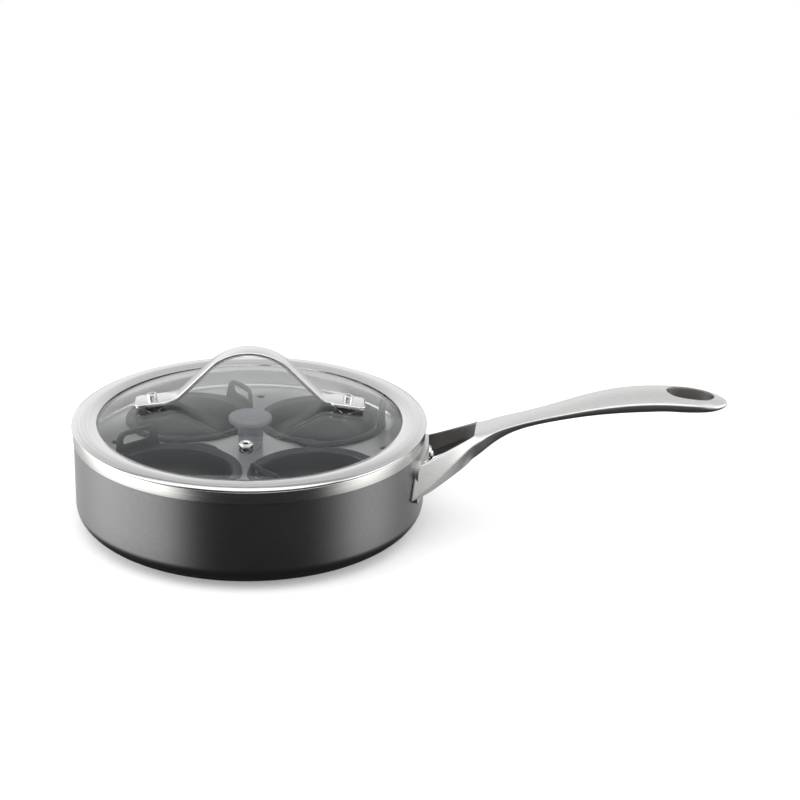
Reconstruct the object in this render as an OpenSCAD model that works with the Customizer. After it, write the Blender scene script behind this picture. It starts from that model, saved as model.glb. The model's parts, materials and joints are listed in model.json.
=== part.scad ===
// Egg poacher pan: shallow pan with a forked cast handle, a dished tray that holds
// loose egg cups, and a steel-rimmed glass lid with a bail handle.
// Millimetres. The origin is the centre of the underside, +X runs along the handle, +Z is up.

/* [Pan] */
// Outer radius of the anodised wall
pan_r = 101; // [99:0.5:104]
// Height of the pan from its base to its rim
pan_h = 59.5; // [58:0.5:63]
// Thickness of the wall
pan_wall = 2.7; // [2.6:0.1:3]
// Thickness of the floor
pan_floor = 3.6; // [3:0.2:5]
// Radius of the flat underside
base_r = 80; // [76:1:84]
// Height of the rounded lower corner
corner_h = 14; // [10:1:18]
// Height of the bright turned band under the rim
band_h = 6.9; // [6:0.1:9]

/* [Handle] */
// Distance from the pan axis to the handle tip
handle_reach = 270; // [250:5:290]
// Height of the top edge where the two fork arms meet
crotch_z = 62.8; // [60:0.2:66]
// Upward slope of the straight part of the grip
grip_slope = 18.3; // [14:0.1:22]
// Radius of the curve that levels the end of the grip
grip_bend_r = 170; // [140:5:220]
// Half the greatest width of the grip
grip_half = 15.2; // [13:0.1:17]
// Half the width of the neck
neck_half = 9.7; // [8:0.1:11]
// Thickness of a fork arm
arm_t = 4.6; // [3.5:0.1:6]
// Length of the hanging hole
hang_l = 26.5; // [20:0.5:28]
// Width of the hanging hole
hang_w = 17; // [12:0.5:19]
// Shank radius of the handle rivets
rivet_r = 2.5; // [2:0.1:3]

/* [Tray] */
// Height of the top face of the tray above the base
tray_z = 42.8; // [40:0.1:44]
// Thickness of the tray sheet
tray_t = 1; // [0.8:0.1:1.2]
// Turn of the tray and its cups about the pan axis
tray_turn = 5.5; // [0:0.5:12]
// Radius of the steam holes
steam_r = 2.8; // [2:0.1:3.5]
// Distance of the steam holes from the pan axis
steam_ring = 77.5; // [74:0.5:80]
// Height of the lifting knob above the tray
knob_h = 17.5; // [16:0.5:20]
// Radius of the cap of the knob
knob_r = 12.4; // [11:0.1:13]

/* [Egg cups] */
// Outer radius of a cup's rolled rim
cup_r = 38; // [36:0.1:38.2]
// Distance of each cup's axis from the pan's two centre planes
cup_step = 39.4; // [39:0.1:39.6]
// Depth of a cup below the tray's top face
cup_depth = 21.2; // [18:0.2:24]
// Thickness of the cup sheet
cup_t = 1.4; // [1:0.1:1.6]
// Width of the upright grip tab
tab_w = 27; // [22:1:30]
// Height of the top of the tab above the tray
tab_h = 13.2; // [11:0.1:14]

/* [Lid] */
// Outer radius of the steel rim
lid_r = 102; // [101.5:0.1:104]
// Radius of the window that the rim leaves open
window_r = 88; // [85:0.5:90]
// Height of the top of the glass dome above the base
dome_z = 72.6; // [71.6:0.1:73.6]
// Radius of the flat middle of the dome
dome_r = 420; // [380:10:460]
// Height of the glass where it runs out under the rim
edge_z = 60.4; // [59.8:0.1:61]
// Thickness of the glass
glass_t = 4; // [3.5:0.1:4]
// Thickness of the rim sheet
rim_t = 0.6; // [0.5:0.1:0.7]
// Turn of the lid about the pan axis
lid_turn = 8; // [0:1:20]
// Height of the top of the bail above the base
bail_z = 103.3; // [98:0.1:108]
// Width of the bail strap
bail_w = 12.5; // [10:0.5:14]
// Width of the feet of the bail
foot_w = 16.5; // [14:0.5:18]
// Thickness of the bail strap
bail_t = 2.2; // [1.8:0.1:2.6]
// Distance of the bail screws from the lid axis
bail_screw = 55.5; // [53:0.5:58]
// Distance of the steam vent from the lid axis
vent_ring = 59.5; // [50:0.5:60]

/* [Hidden] */
$fn = 96;

// Small overlap that keeps cuts clean, and the air gap between loose pieces
cut = 1;
gap = 0.2;

// Pan: the inner wall, the ledge that carries the tray, and the band's outer radius
pan_inner_r = pan_r - pan_wall;
ledge_r = pan_r - 1.2;
ledge_z = pan_h - 2.8;
band_r = pan_r + 0.3;
floor_corner = 12;
rim_soft = 0.5;

// Tray: the wall stands just inside the pan, the flange lies on the ledge
tray_wall_r = pan_inner_r - 2.4;
tray_flange_z = ledge_z + gap + tray_t / 2;
tray_bend = 3;
flange_bend = 1.2;
tray_mid_z = tray_z - tray_t / 2;
cup_hole_r = cup_r - 3.7;
knob_hole_r = 2.4;

// Knob: a threaded bush inside, and a washer and a screw from below
cap_t = 3.2;
stem_low_r = 6.9;
stem_high_r = 7.7;
insert_r = 3.6;
insert_h = 11;
screw_r = 2;
screw_head_r = 4.2;
screw_head_h = 2.2;
washer_h = 0.8;

// Cups: each turns freely in its hole, so each tab has its own bearing
cup_signs = [[-1, 1], [1, 1], [-1, -1], [1, -1]];
cup_tab_turns = [35.5, -2, 133, -138];
cup_floor_z = tray_z - cup_depth + cup_t / 2;
cup_bowl_r = 16;
cup_lip_r = cup_r - 5.1;
lip_slope = 9;
slot_w = 19;
slot_h = 5;
tab_t = 1.6;
tab_r = cup_r - 0.15;

// Lid: a nearly flat dome curves down faster outside its shoulder and runs out flat under the rim,
// and the rim steps down inside the tray wall
dome_c = dome_z - dome_r;
shoulder_r = 62;
shoulder_z = dome_c + sqrt(dome_r * dome_r - shoulder_r * shoulder_r);
shoulder_slope = asin(shoulder_r / dome_r);
edge_slope = 2 * atan((shoulder_z - edge_z) / (window_r - shoulder_r)) - shoulder_slope;
edge_arc_r = (window_r - shoulder_r) / (sin(edge_slope) - sin(shoulder_slope));
glass_under_z = edge_z - glass_t;
skirt_r = tray_wall_r - 1.4;
glass_r = skirt_r - 0.7;
rim_under_z = pan_h + gap + rim_t / 2;

// Bail: one arch, two legs at 45 degrees and two feet that follow the glass
foot_angle = asin(bail_screw / dome_r);
arch_r = 32;
arch_c = bail_z - bail_t / 2 - arch_r;
foot_lift = 1.4;
foot_end = 66;
foot_bend = 9;

// Heights in a foot's stack, measured from the top of the glass, and the sag under a gasket
gasket_t = 0.8;
nut_h = 3.2;
nut_r = 2.9;
nut_low = foot_lift + bail_t;
bail_bore_r = screw_r + 0.1;
stack_bore_r = screw_r + gap;
seat = 0.05;

// Vent: a hexagon flange, a rolled top and a flared end under the glass
vent_tube_r = 2.2;
vent_bore_r = 1.4;
vent_flange_r = 3.9;
vent_gasket_t = 0.5;

// Fork: the arms spread, widen and fall from the crotch towards the pan, by so much per millimetre
crotch_x = 130;
crotch_inner = 11;
crotch_depth = 13.2;
arm_spread = 0.39;
arm_widening = 0.08;
arm_top_fall = 0.5;
arm_low_fall = 0.72;

// Each arm slants from its inner top edge down to a crease, and its inner face is the shorter one
crease_drop = 3.6;
crease_fall = 0.5;
inner_face = 8.5;
inner_face_growth = 0.15;

// Grip: distances from the pan axis, and the plate that the arms end in
bend_x = 188;
hang_x = handle_reach - 20.5;
end_x = handle_reach - 23;
plate_t = 2.6;
plate_half = 26;
plate_low = 25;
plate_high = 50;
rivet_places = [[-10, 42], [10, 42], [0, 31.5]];

// Half width, crown and depth of the grip at stations along its length
half_stations = [[crotch_x, crotch_inner + arm_t], [146, 10.6], [158, neck_half], [212, grip_half],
    [end_x, grip_half - 0.2]];
crown_stations = [[crotch_x, 0.6], [160, 1.5], [210, 3.4], [end_x, 3.3]];
depth_stations = [[crotch_x, crotch_depth], [140, 8.1], [150, 4.7], [160, 3.8], [228, 6.5], [end_x, 6]];
drop_stations = [[crotch_x, crease_drop], [143, 0]];

function reversed(list) = [for (i = [len(list) - 1 : -1 : 0]) list[i]];
function unit(v) = v / norm(v);
function arc_points(c, r, from, to, steps) =
    [for (i = [0 : steps]) c + r * [cos(from + (to - from) * i / steps), sin(from + (to - from) * i / steps)]];

// Outline of a sheet of thickness t bent along a path
function path_normal(p, i) =
    let (a = i == len(p) - 1 ? unit(p[i] - p[i - 1]) : unit(p[i + 1] - p[i]),
         b = i == 0 ? a : unit(p[i] - p[i - 1]),
         m = unit(a + b))
    [-m[1], m[0]] / max(0.5, m * a);
function sheet_side(p, d) = [for (i = [0 : len(p) - 1]) p[i] + d * path_normal(p, i)];
function sheet_outline(p, t) = concat(sheet_side(p, t / 2), reversed(sheet_side(p, -t / 2)));

// Smooth value between hand-set stations
function soft_step(t) = t * t * (3 - 2 * t);
function station_at(list, s, i = 0) =
    i >= len(list) - 2 || s < list[i + 1][0] ? i : station_at(list, s, i + 1);
function along(list, s) =
    let (i = station_at(list, s), a = list[i], b = list[i + 1],
         t = min(1, max(0, (s - a[0]) / (b[0] - a[0]))))
    a[1] + (b[1] - a[1]) * soft_step(t);

// Faces of a tube of rings with flat ends
function ring_faces(rings, n) = concat(
    [[for (k = [0 : n - 1]) k]],
    [reversed([for (k = [0 : n - 1]) (rings - 1) * n + k])],
    [for (j = [0 : rings - 2], k = [0 : n - 1])
        [j * n + k, (j + 1) * n + (k + 1) % n, j * n + (k + 1) % n]],
    [for (j = [0 : rings - 2], k = [0 : n - 1])
        [j * n + k, (j + 1) * n + k, (j + 1) * n + (k + 1) % n]]);

// Flat ring between two heights
module ring(outer, inner, low, high) {
    translate([0, 0, low]) difference() {
        cylinder(r = outer, h = high - low, $fn = 48);
        translate([0, 0, -cut]) cylinder(r = inner, h = high - low + 2 * cut, $fn = 48);
    }
}

// Pan

module pan_profile() {
    polygon(concat(
        [[0, 0]],
        [for (a = [0 : 6 : 90]) [base_r + (pan_r - base_r) * sin(a), corner_h - corner_h * cos(a)]],
        [[pan_r, pan_h - band_h], [band_r, pan_h - band_h]],
        arc_points([band_r - rim_soft, pan_h - rim_soft], rim_soft, 0, 90, 4),
        [[ledge_r, pan_h], [ledge_r, ledge_z], [pan_inner_r, ledge_z]],
        arc_points([pan_inner_r - floor_corner, pan_floor + floor_corner], floor_corner, 0, -90, 15),
        [[0, pan_floor]]));
}

// Radial cylinder at a rivet place, from one radius to another
module rivet_run(place, r, from, to) {
    rotate([0, 0, asin(place[0] / pan_r)])
        translate([from, 0, place[1]])
            rotate([0, 90, 0]) cylinder(r = r, h = to - from, $fn = 48);
}

module pan_shell() {
    color("dimgray") difference() {
        rotate_extrude() pan_profile();
        for (place = rivet_places)
            rivet_run(place, rivet_r, pan_inner_r - cut, pan_r + cut);
    }
}

// Handle

function crease_z(s) =
    let (bend_z = crotch_z + (bend_x - crotch_x) * tan(grip_slope),
         turned = asin((s - bend_x) / grip_bend_r - sin(grip_slope)))
    s <= bend_x ? crotch_z + (s - crotch_x) * tan(grip_slope)
        : bend_z - grip_bend_r * (cos(grip_slope) - cos(turned));

// The grip closes in a half ellipse past end_x
function end_scale(s) =
    s <= end_x ? 1 : sqrt(max(0.0004, 1 - pow((s - end_x) / (handle_reach - end_x), 2)));
function lobe(v, power) = sign(v) * pow(abs(v), power);
function grip_ring(s, n) =
    let (half = along(half_stations, s) * end_scale(s),
         crown = along(crown_stations, s) * end_scale(s),
         depth = along(depth_stations, s) * end_scale(s),
         drop = along(drop_stations, s))
    [for (k = [0 : n - 1])
        let (a = 360 * k / n,
             across = lobe(cos(a), a > 180 ? 0.6 : 1),
             slant = drop * max(0, abs(across) - 0.7) / 0.3)
        [s, half * across, crease_z(s) + (a > 180 ? min(-slant, depth * lobe(sin(a), 0.7)) : crown * sin(a) - slant)]];

module grip() {
    sides = 24;
    stops = concat([for (s = [crotch_x : 6 : end_x - 1]) s],
        [for (a = [0 : 15 : 90]) end_x + (handle_reach - end_x) * sin(a)]);
    polyhedron(
        points = [for (s = stops) each grip_ring(s, sides)],
        faces = ring_faces(len(stops), sides), convexity = 4);
}

// One arm of the fork, taller and wider towards the pan
function arm_ring(s, side) =
    let (soft = 0.6,
         run = crotch_x - s,
         inner = crotch_inner + run * arm_spread,
         width = arm_t + run * arm_widening,
         top = crotch_z - run * arm_top_fall,
         low = crotch_z - crotch_depth - run * arm_low_fall,
         inner_low = top - inner_face - run * inner_face_growth,
         crease = max(low + 2 * soft, top - crease_drop - run * crease_fall))
    [for (q = [[0, inner_low + soft], [soft, inner_low - soft], [width - soft, low], [width, low + soft],
            [width, crease], [0.62 * width, top - 0.4 * (top - crease)], [soft, top], [0, top - soft]])
        [s, side * (inner + q[0]), q[1]]];

module fork_arm(side) {
    steps = 5;
    start = pan_r - 6;
    stops = [for (i = [0 : steps]) start + (crotch_x + 2 - start) * i / steps];
    rings = [for (s = stops) side > 0 ? arm_ring(s, side) : reversed(arm_ring(s, side))];
    polyhedron(points = [for (ring = rings) each ring],
        faces = ring_faces(len(stops), 8), convexity = 4);
}

module plate_outline() {
    shoulder = 8;
    polygon(concat(
        arc_points([plate_half - 2, plate_low + 2], 2, -90, 0, 4),
        arc_points([plate_half - 1 - shoulder, plate_high - shoulder], shoulder, 0, 90, 8),
        arc_points([-plate_half + 1 + shoulder, plate_high - shoulder], shoulder, 90, 180, 8),
        arc_points([-plate_half + 2, plate_low + 2], 2, 180, 270, 4)));
}

module wall_plate() {
    intersection() {
        difference() {
            cylinder(r = pan_r + plate_t, h = pan_h);
            translate([0, 0, -cut]) cylinder(r = pan_r, h = pan_h + 2 * cut);
        }
        translate([pan_r - 10, 0, 0])
            rotate([90, 0, 90]) linear_extrude(height = 20) plate_outline();
    }
}

module hang_hole() {
    run = (hang_l - hang_w) / 2;
    translate([hang_x, 0, pan_h]) {
        for (side = [-1, 1])
            translate([side * run, 0, 0]) cylinder(d = hang_w, h = 60);
        translate([-run, -hang_w / 2, 0]) cube([2 * run, hang_w, 60]);
    }
}

module handle() {
    color("silver") difference() {
        union() {
            grip();
            difference() {
                union() {
                    fork_arm(1);
                    fork_arm(-1);
                }
                translate([0, 0, -cut]) cylinder(r = pan_r, h = 2 * pan_h);
            }
            wall_plate();
        }
        hang_hole();
        for (place = rivet_places)
            rivet_run(place, rivet_r, pan_r - cut, pan_r + plate_t + cut);
    }
}

// Flat head inside the pan, shank, and a low domed head on the handle's plate
module handle_rivets() {
    head = 4.6;
    head_h = 2.9;
    inner_head_t = 0.9;
    seat_in = pan_inner_r - 0.3;
    seat_out = pan_r + plate_t + 0.2;
    soft = 1.6;
    color("gainsboro") for (place = rivet_places) {
        rivet_run(place, rivet_r, seat_in, seat_out + 0.1);
        rivet_run(place, head, seat_in - inner_head_t, seat_in);
        rotate([0, 0, asin(place[0] / pan_r)])
            translate([seat_out, 0, place[1]])
                rotate([0, 90, 0]) rotate_extrude($fn = 48)
                    polygon(concat([[0, 0], [head, 0]],
                        arc_points([head - soft, head_h - 0.2 - soft], soft, 0, 90, 5), [[0, head_h]]));
    }
}

// Tray

module tray_plate() {
    path = concat([[knob_hole_r, tray_mid_z]],
        arc_points([tray_wall_r - tray_bend, tray_mid_z + tray_bend], tray_bend, -90, 0, 8),
        arc_points([tray_wall_r + flange_bend, tray_flange_z - flange_bend], flange_bend, 180, 90, 5),
        [[ledge_r - 0.4, tray_flange_z]]);
    color("gainsboro") rotate([0, 0, tray_turn]) difference() {
        rotate_extrude() polygon(sheet_outline(path, tray_t));
        for (sign = cup_signs)
            translate([cup_step * sign[0], cup_step * sign[1], tray_z - 3])
                cylinder(r = cup_hole_r, h = 4);
        for (a = [0 : 90 : 270])
            rotate([0, 0, a]) translate([steam_ring, 0, tray_z - 3])
                cylinder(r = steam_r, h = 4, $fn = 48);
    }
}

module tray_knob() {
    cap_low = knob_h - cap_t;
    ring_r = knob_r - 2.2;
    color("slategray") translate([0, 0, tray_z]) rotate_extrude()
        polygon(concat(
            [[insert_r, 0], [stem_low_r, 0], [stem_high_r, cap_low - 1.4], [stem_high_r + 1.4, cap_low]],
            arc_points([knob_r - 0.8, cap_low + 0.8], 0.8, -90, 0, 4),
            arc_points([knob_r - 1.2, knob_h - 1.2], 1.2, 0, 90, 4),
            [[ring_r, knob_h], [ring_r - 0.4, knob_h - 0.3], [0, knob_h - 0.3],
                [0, insert_h], [insert_r, insert_h]]));
}

// Threaded bush moulded into the knob
module knob_insert() {
    color("goldenrod") translate([0, 0, tray_z]) difference() {
        cylinder(r = insert_r, h = insert_h, $fn = 48);
        translate([0, 0, -cut]) cylinder(r = screw_r, h = insert_h + cut - 1.5, $fn = 48);
    }
}

module knob_washer() {
    color("silver") ring(screw_head_r + 1.3, screw_r + gap, tray_z - tray_t - washer_h, tray_z - tray_t);
}

// Low domed screw head, flat side up, centred on the axis
module screw_head() {
    round_r = screw_head_r - 2.8;
    rotate_extrude($fn = 48)
        polygon(concat([[0, 0]],
            arc_points([screw_head_r - round_r, round_r], round_r, -90, 0, 5),
            [[screw_head_r, screw_head_h], [0, screw_head_h]]));
}

module knob_screw() {
    slot_l = 4.4;
    slot_t = 0.8;
    color("silver") translate([0, 0, tray_z - tray_t - washer_h - screw_head_h]) difference() {
        union() {
            screw_head();
            cylinder(r = screw_r, h = insert_h, $fn = 48);
        }
        for (a = [0, 90])
            rotate([0, 0, a]) translate([-slot_l / 2, -slot_t / 2, -cut]) cube([slot_l, slot_t, 2]);
    }
}

// Egg cups

module cup_bowl() {
    wall_lean = 10;
    bowl_c = [cup_bowl_r, cup_floor_z + cup_bowl_r];
    path = concat([[0, cup_floor_z]],
        arc_points(bowl_c, cup_bowl_r, -90, -wall_lean, 14),
        arc_points([cup_lip_r + 1.2, tray_z - 0.25], 1.2, 180 - wall_lean, 90 + lip_slope, 5),
        arc_points([cup_r - cup_t / 2 - 0.8, tray_z + 0.55], 0.8, 90 + lip_slope, 0, 6),
        [[cup_r - cup_t / 2, tray_z + gap + 0.2]]);
    rotate_extrude() polygon(sheet_outline(path, cup_t));
}

module tab_outline() {
    corner = 4.5;
    low = tray_z + 1;
    high = tray_z + tab_h;
    slot_z = tray_z + 8.4;
    difference() {
        union() {
            translate([-tab_w / 2, low]) square([tab_w, high - corner - low]);
            translate([corner - tab_w / 2, low]) square([tab_w - 2 * corner, high - low]);
            for (side = [-1, 1])
                translate([side * (tab_w / 2 - corner), high - corner]) circle(r = corner, $fn = 48);
        }
        translate([slot_h / 2 - slot_w / 2, slot_z - slot_h / 2]) square([slot_w - slot_h, slot_h]);
        for (side = [-1, 1])
            translate([side * (slot_w - slot_h) / 2, slot_z]) circle(d = slot_h, $fn = 48);
    }
}

// The tab follows the round of the rim and stands up from it
module cup_tab() {
    intersection() {
        difference() {
            cylinder(r = tab_r, h = 2 * pan_h);
            translate([0, 0, -cut]) cylinder(r = tab_r - tab_t, h = 2 * pan_h + 2 * cut);
        }
        translate([cup_r - 10, 0, 0])
            rotate([90, 0, 90]) linear_extrude(height = 20) tab_outline();
    }
}

module egg_cup(i) {
    color("darkslategray") rotate([0, 0, tray_turn])
        translate([cup_step * cup_signs[i][0], cup_step * cup_signs[i][1], 0]) {
            cup_bowl();
            rotate([0, 0, cup_tab_turns[i]]) cup_tab();
        }
}

// Lid

// Places its children on the glass, square to the dome, at a distance from the lid axis
module on_dome(reach, turn) {
    rotate([0, 0, lid_turn + turn])
        translate([0, 0, dome_c]) rotate([0, asin(reach / dome_r), 0]) translate([0, 0, dome_r]) children();
}

module at_bail_feet() {
    for (turn = [0, 180]) on_dome(bail_screw, turn) children();
}

module glass_bore(r) {
    translate([0, 0, -2 * glass_t]) cylinder(r = r, h = 3 * glass_t, $fn = 48);
}

// Face of the dome from its middle out to the window's edge, at a depth under its top face
function dome_line(depth) =
    let (edge_c = [shoulder_r - edge_arc_r * sin(shoulder_slope), shoulder_z - edge_arc_r * cos(shoulder_slope)])
    concat([for (i = [0 : 11]) (dome_r - depth) * [sin(shoulder_slope * i / 12), cos(shoulder_slope * i / 12)]
            + [0, dome_c]],
        arc_points(edge_c, edge_arc_r - depth, 90 - shoulder_slope, 90 - edge_slope, 8));

module lid_glass() {
    color("lightcyan", 0.4) difference() {
        rotate_extrude() polygon(concat(
            dome_line(0), [[glass_r, edge_z], [glass_r, glass_under_z], [window_r, glass_under_z]],
            reversed(dome_line(glass_t))));
        at_bail_feet() glass_bore(screw_r + 0.6);
        on_dome(vent_ring, -90) glass_bore(vent_tube_r + gap);
    }
}

module lid_rim() {
    leg_z = glass_under_z - rim_t / 2 - 0.05;
    top_z = edge_z + 0.1 + rim_t / 2;
    edge_r = lid_r - rim_t / 2;
    fold_r = 0.37;
    crown = [[0, 0], [2.6, 0.85], [5.6, 1.4], [8.6, 1.36], [11.2, 0.9]];
    path = concat(
        [for (p = crown) [window_r, top_z] + p],
        arc_points([edge_r - fold_r, rim_under_z + fold_r], fold_r, 65, -90, 6),
        arc_points([skirt_r + 0.6, rim_under_z - 0.6], 0.6, 90, 180, 3),
        arc_points([skirt_r - 0.6, leg_z + 0.6], 0.6, 0, -90, 3),
        [[skirt_r - 3.6, leg_z]]);
    color("silver") rotate_extrude() polygon(sheet_outline(path, rim_t));
}

// Middle line of one half of the bail, from the crown of the arch out to the end of a foot
function foot_line(u) =
    dome_c + (dome_r + foot_lift + bail_t / 2) / cos(foot_angle) - u * tan(foot_angle);
leg_top = arch_r * cos(45);
leg_sum = leg_top + arch_c + leg_top;
knee = (leg_sum - foot_line(0)) / (1 - tan(foot_angle));
function bail_half() =
    let (half_turn = (45 - foot_angle) / 2,
         run = foot_bend * tan(half_turn),
         start = [knee - run * cos(45), leg_sum - knee + run * cos(45)],
         c = start + foot_bend * [cos(45), sin(45)])
    concat(arc_points([0, arch_c], arch_r, 90, 45, 12),
        arc_points(c, foot_bend, 225, 270 - foot_angle, 6),
        [[foot_end + 1, foot_line(foot_end + 1)]]);

// The bail from above: a strap with wider feet that have rounded ends
module bail_plan() {
    corner = 3.5;
    flare_start = knee + 3;
    flare_end = flare_start + 4;
    side = concat([[flare_start, -bail_w / 2], [flare_end, -foot_w / 2]],
        arc_points([foot_end - corner, corner - foot_w / 2], corner, -90, 0, 6),
        arc_points([foot_end - corner, foot_w / 2 - corner], corner, 0, 90, 6),
        [[flare_end, foot_w / 2], [flare_start, bail_w / 2]]);
    polygon(concat(side, [for (p = side) -p]));
}

module lid_bail() {
    half = bail_half();
    path = concat([for (p = reversed(half)) [-p[0], p[1]]], [for (i = [1 : len(half) - 1]) half[i]]);
    color("silver") difference() {
        rotate([0, 0, lid_turn]) intersection() {
            translate([0, foot_w, 0])
                rotate([90, 0, 0]) linear_extrude(height = 2 * foot_w) polygon(sheet_outline(path, bail_t));
            linear_extrude(height = 2 * pan_h) bail_plan();
        }
        at_bail_feet() translate([0, 0, -cut]) cylinder(r = bail_bore_r, h = 10, $fn = 48);
    }
}

// Screws come up through the glass and the bail into round nuts
module bail_screws() {
    head_low = -glass_t - gasket_t - screw_head_h;
    color("silver") at_bail_feet() translate([0, 0, head_low]) {
        screw_head();
        translate([0, 0, 1]) cylinder(r = screw_r, h = nut_low + nut_h / 2 - head_low - 1, $fn = 48);
    }
}

// Round nut, closed over the screw's end, with a hexagon socket in its top
module bail_nuts() {
    half = nut_h / 2;
    soft = 0.6;
    color("gainsboro") at_bail_feet() translate([0, 0, nut_low]) difference() {
        rotate_extrude($fn = 48)
            polygon([[screw_r, 0], [nut_r, 0], [nut_r, nut_h - soft], [nut_r - soft, nut_h], [0, nut_h],
                [0, half], [screw_r, half]]);
        translate([0, 0, half + 0.1]) cylinder(r = 1.8, h = nut_h, $fn = 6);
    }
}

module bail_washers() {
    color("gainsboro") at_bail_feet() ring(6.8, stack_bore_r, gasket_t, foot_lift);
}

module bail_gaskets_upper() {
    color("dimgray") at_bail_feet() ring(5.8, stack_bore_r, 0, gasket_t);
}

module bail_gaskets_lower() {
    color("dimgray") at_bail_feet() ring(5.2, stack_bore_r, -glass_t - gasket_t, -glass_t - seat);
}

module vent_eyelet() {
    flange_t = 1.3;
    top_r = 3.1;
    top_t = 0.6;
    color("gainsboro") on_dome(vent_ring, -90) difference() {
        union() {
            translate([0, 0, vent_gasket_t]) cylinder(r = vent_flange_r, h = flange_t, $fn = 6);
            translate([0, 0, vent_gasket_t + flange_t]) rotate_extrude($fn = 48)
                polygon(concat([[0, 0], [top_r, 0]], arc_points([top_r - top_t, 0], top_t, 0, 90, 4),
                    [[0, top_t]]));
            translate([0, 0, -glass_t - 1]) cylinder(r = vent_tube_r, h = glass_t + 2, $fn = 48);
            translate([0, 0, -glass_t - vent_gasket_t - top_t])
                cylinder(r = vent_flange_r - 0.4, h = top_t, $fn = 48);
        }
        translate([0, 0, -10]) cylinder(r = vent_bore_r, h = 20, $fn = 48);
    }
}

module vent_gaskets() {
    outer = vent_flange_r - 0.1;
    bore = vent_tube_r + 0.05;
    color("dimgray") on_dome(vent_ring, -90) {
        ring(outer, bore, 0, vent_gasket_t);
        ring(outer, bore, -glass_t - vent_gasket_t, -glass_t - seat);
    }
}

pan_shell();
handle();
handle_rivets();
tray_plate();
tray_knob();
knob_insert();
knob_washer();
knob_screw();
egg_cup(0);  // egg_cup_back_left
egg_cup(1);  // egg_cup_back_right
egg_cup(2);  // egg_cup_front_left
egg_cup(3);  // egg_cup_front_right
lid_glass();
lid_rim();
lid_bail();
bail_screws();
bail_nuts();
bail_washers();
bail_gaskets_upper();
bail_gaskets_lower();
vent_eyelet();
vent_gaskets();
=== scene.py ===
# Egg poacher pan on a white studio sweep: forked-handle pan, tray of loose cups, rimmed glass lid.
import json
import math

import bmesh
import bpy
from mathutils import Matrix, Vector
from mathutils.geometry import delaunay_2d_cdt

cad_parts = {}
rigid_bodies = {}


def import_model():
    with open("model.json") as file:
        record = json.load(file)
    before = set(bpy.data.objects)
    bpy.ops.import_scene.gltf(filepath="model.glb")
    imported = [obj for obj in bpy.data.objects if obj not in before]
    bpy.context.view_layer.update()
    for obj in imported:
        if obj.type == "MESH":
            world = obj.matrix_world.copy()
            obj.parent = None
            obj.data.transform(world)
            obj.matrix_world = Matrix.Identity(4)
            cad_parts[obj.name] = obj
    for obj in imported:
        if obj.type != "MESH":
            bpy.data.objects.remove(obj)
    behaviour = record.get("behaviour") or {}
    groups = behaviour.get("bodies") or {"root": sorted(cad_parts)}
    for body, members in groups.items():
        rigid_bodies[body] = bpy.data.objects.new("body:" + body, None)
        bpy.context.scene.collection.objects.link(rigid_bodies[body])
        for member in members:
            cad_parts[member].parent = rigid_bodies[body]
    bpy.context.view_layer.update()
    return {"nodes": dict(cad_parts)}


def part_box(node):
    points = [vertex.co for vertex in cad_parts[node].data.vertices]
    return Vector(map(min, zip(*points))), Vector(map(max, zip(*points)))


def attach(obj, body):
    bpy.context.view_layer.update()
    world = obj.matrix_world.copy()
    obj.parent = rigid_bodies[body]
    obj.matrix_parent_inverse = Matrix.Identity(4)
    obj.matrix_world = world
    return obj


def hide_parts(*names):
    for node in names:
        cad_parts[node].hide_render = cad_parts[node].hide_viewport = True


for leftover in list(bpy.data.objects):
    bpy.data.objects.remove(leftover)
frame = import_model()
mm = 0.001
scene = bpy.context.scene


# Small helpers for paths in a plane, all in millimetres

def arcPoints(centre, radius, first, last, steps):
    turns = [math.radians(first + (last - first) * k / steps) for k in range(steps + 1)]
    return [Vector((centre[0] + radius * math.cos(t), centre[1] + radius * math.sin(t))) for t in turns]


def roundCorners(corners, steps=6):
    # each corner is (u, v) or (u, v, radius), and the ends stay as they are
    path = []
    for i, corner in enumerate(corners):
        here = Vector(corner[:2])
        if len(corner) < 3 or i in (0, len(corners) - 1):
            path.append(here)
            continue
        toLast = Vector(corners[i - 1][:2]) - here
        toNext = Vector(corners[i + 1][:2]) - here
        half = toLast.angle(toNext) / 2
        reach = min(corner[2] / math.tan(half), toLast.length * 0.49, toNext.length * 0.49)
        radius = reach * math.tan(half)
        toLast.normalize()
        toNext.normalize()
        centre = here + (toLast + toNext).normalized() * (radius / math.sin(half))
        spoke = here + toLast * reach - centre
        swing = spoke.angle_signed(here + toNext * reach - centre)
        for k in range(steps + 1):
            turned = spoke.copy()
            turned.rotate(Matrix.Rotation(-swing * k / steps, 2))
            path.append(centre + turned)
    return path


def curveThrough(points, steps=6):
    # smooth line through given points
    ends = [points[0] * 2 - points[1], *points, points[-1] * 2 - points[-2]]
    path = []
    for a, b, c, d in zip(ends, ends[1:], ends[2:], ends[3:]):
        for k in range(steps):
            t = k / steps
            path.append(0.5 * (2 * b + (c - a) * t + (2 * a - 5 * b + 4 * c - d) * t * t
                               + (3 * b - a - 3 * c + d) * t ** 3))
    return path + [points[-1]]


def sheetOutline(path, thickness):
    # both faces of a bent sheet, from the line through its middle
    sides = [[], []]
    for i, point in enumerate(path):
        before = (point - path[max(i - 1, 0)]) if i else path[1] - point
        after = (path[min(i + 1, len(path) - 1)] - point) if i < len(path) - 1 else before
        along = (before.normalized() + after.normalized()).normalized()
        out = Vector((-along.y, along.x)) * thickness / 2 / max(0.5, along.dot(before.normalized()))
        sides[0].append(point + out)
        sides[1].append(point - out)
    return sides[0] + sides[1][::-1]


def softStep(t):
    t = min(1, max(0, t))
    return t * t * (3 - 2 * t)


def alongStations(stations, s):
    # value at s, eased between given (place, value) stations
    for (a, low), (b, high) in zip(stations, stations[1:]):
        if s <= b or b == stations[-1][0]:
            return low + (high - low) * softStep((s - a) / (b - a))


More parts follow.
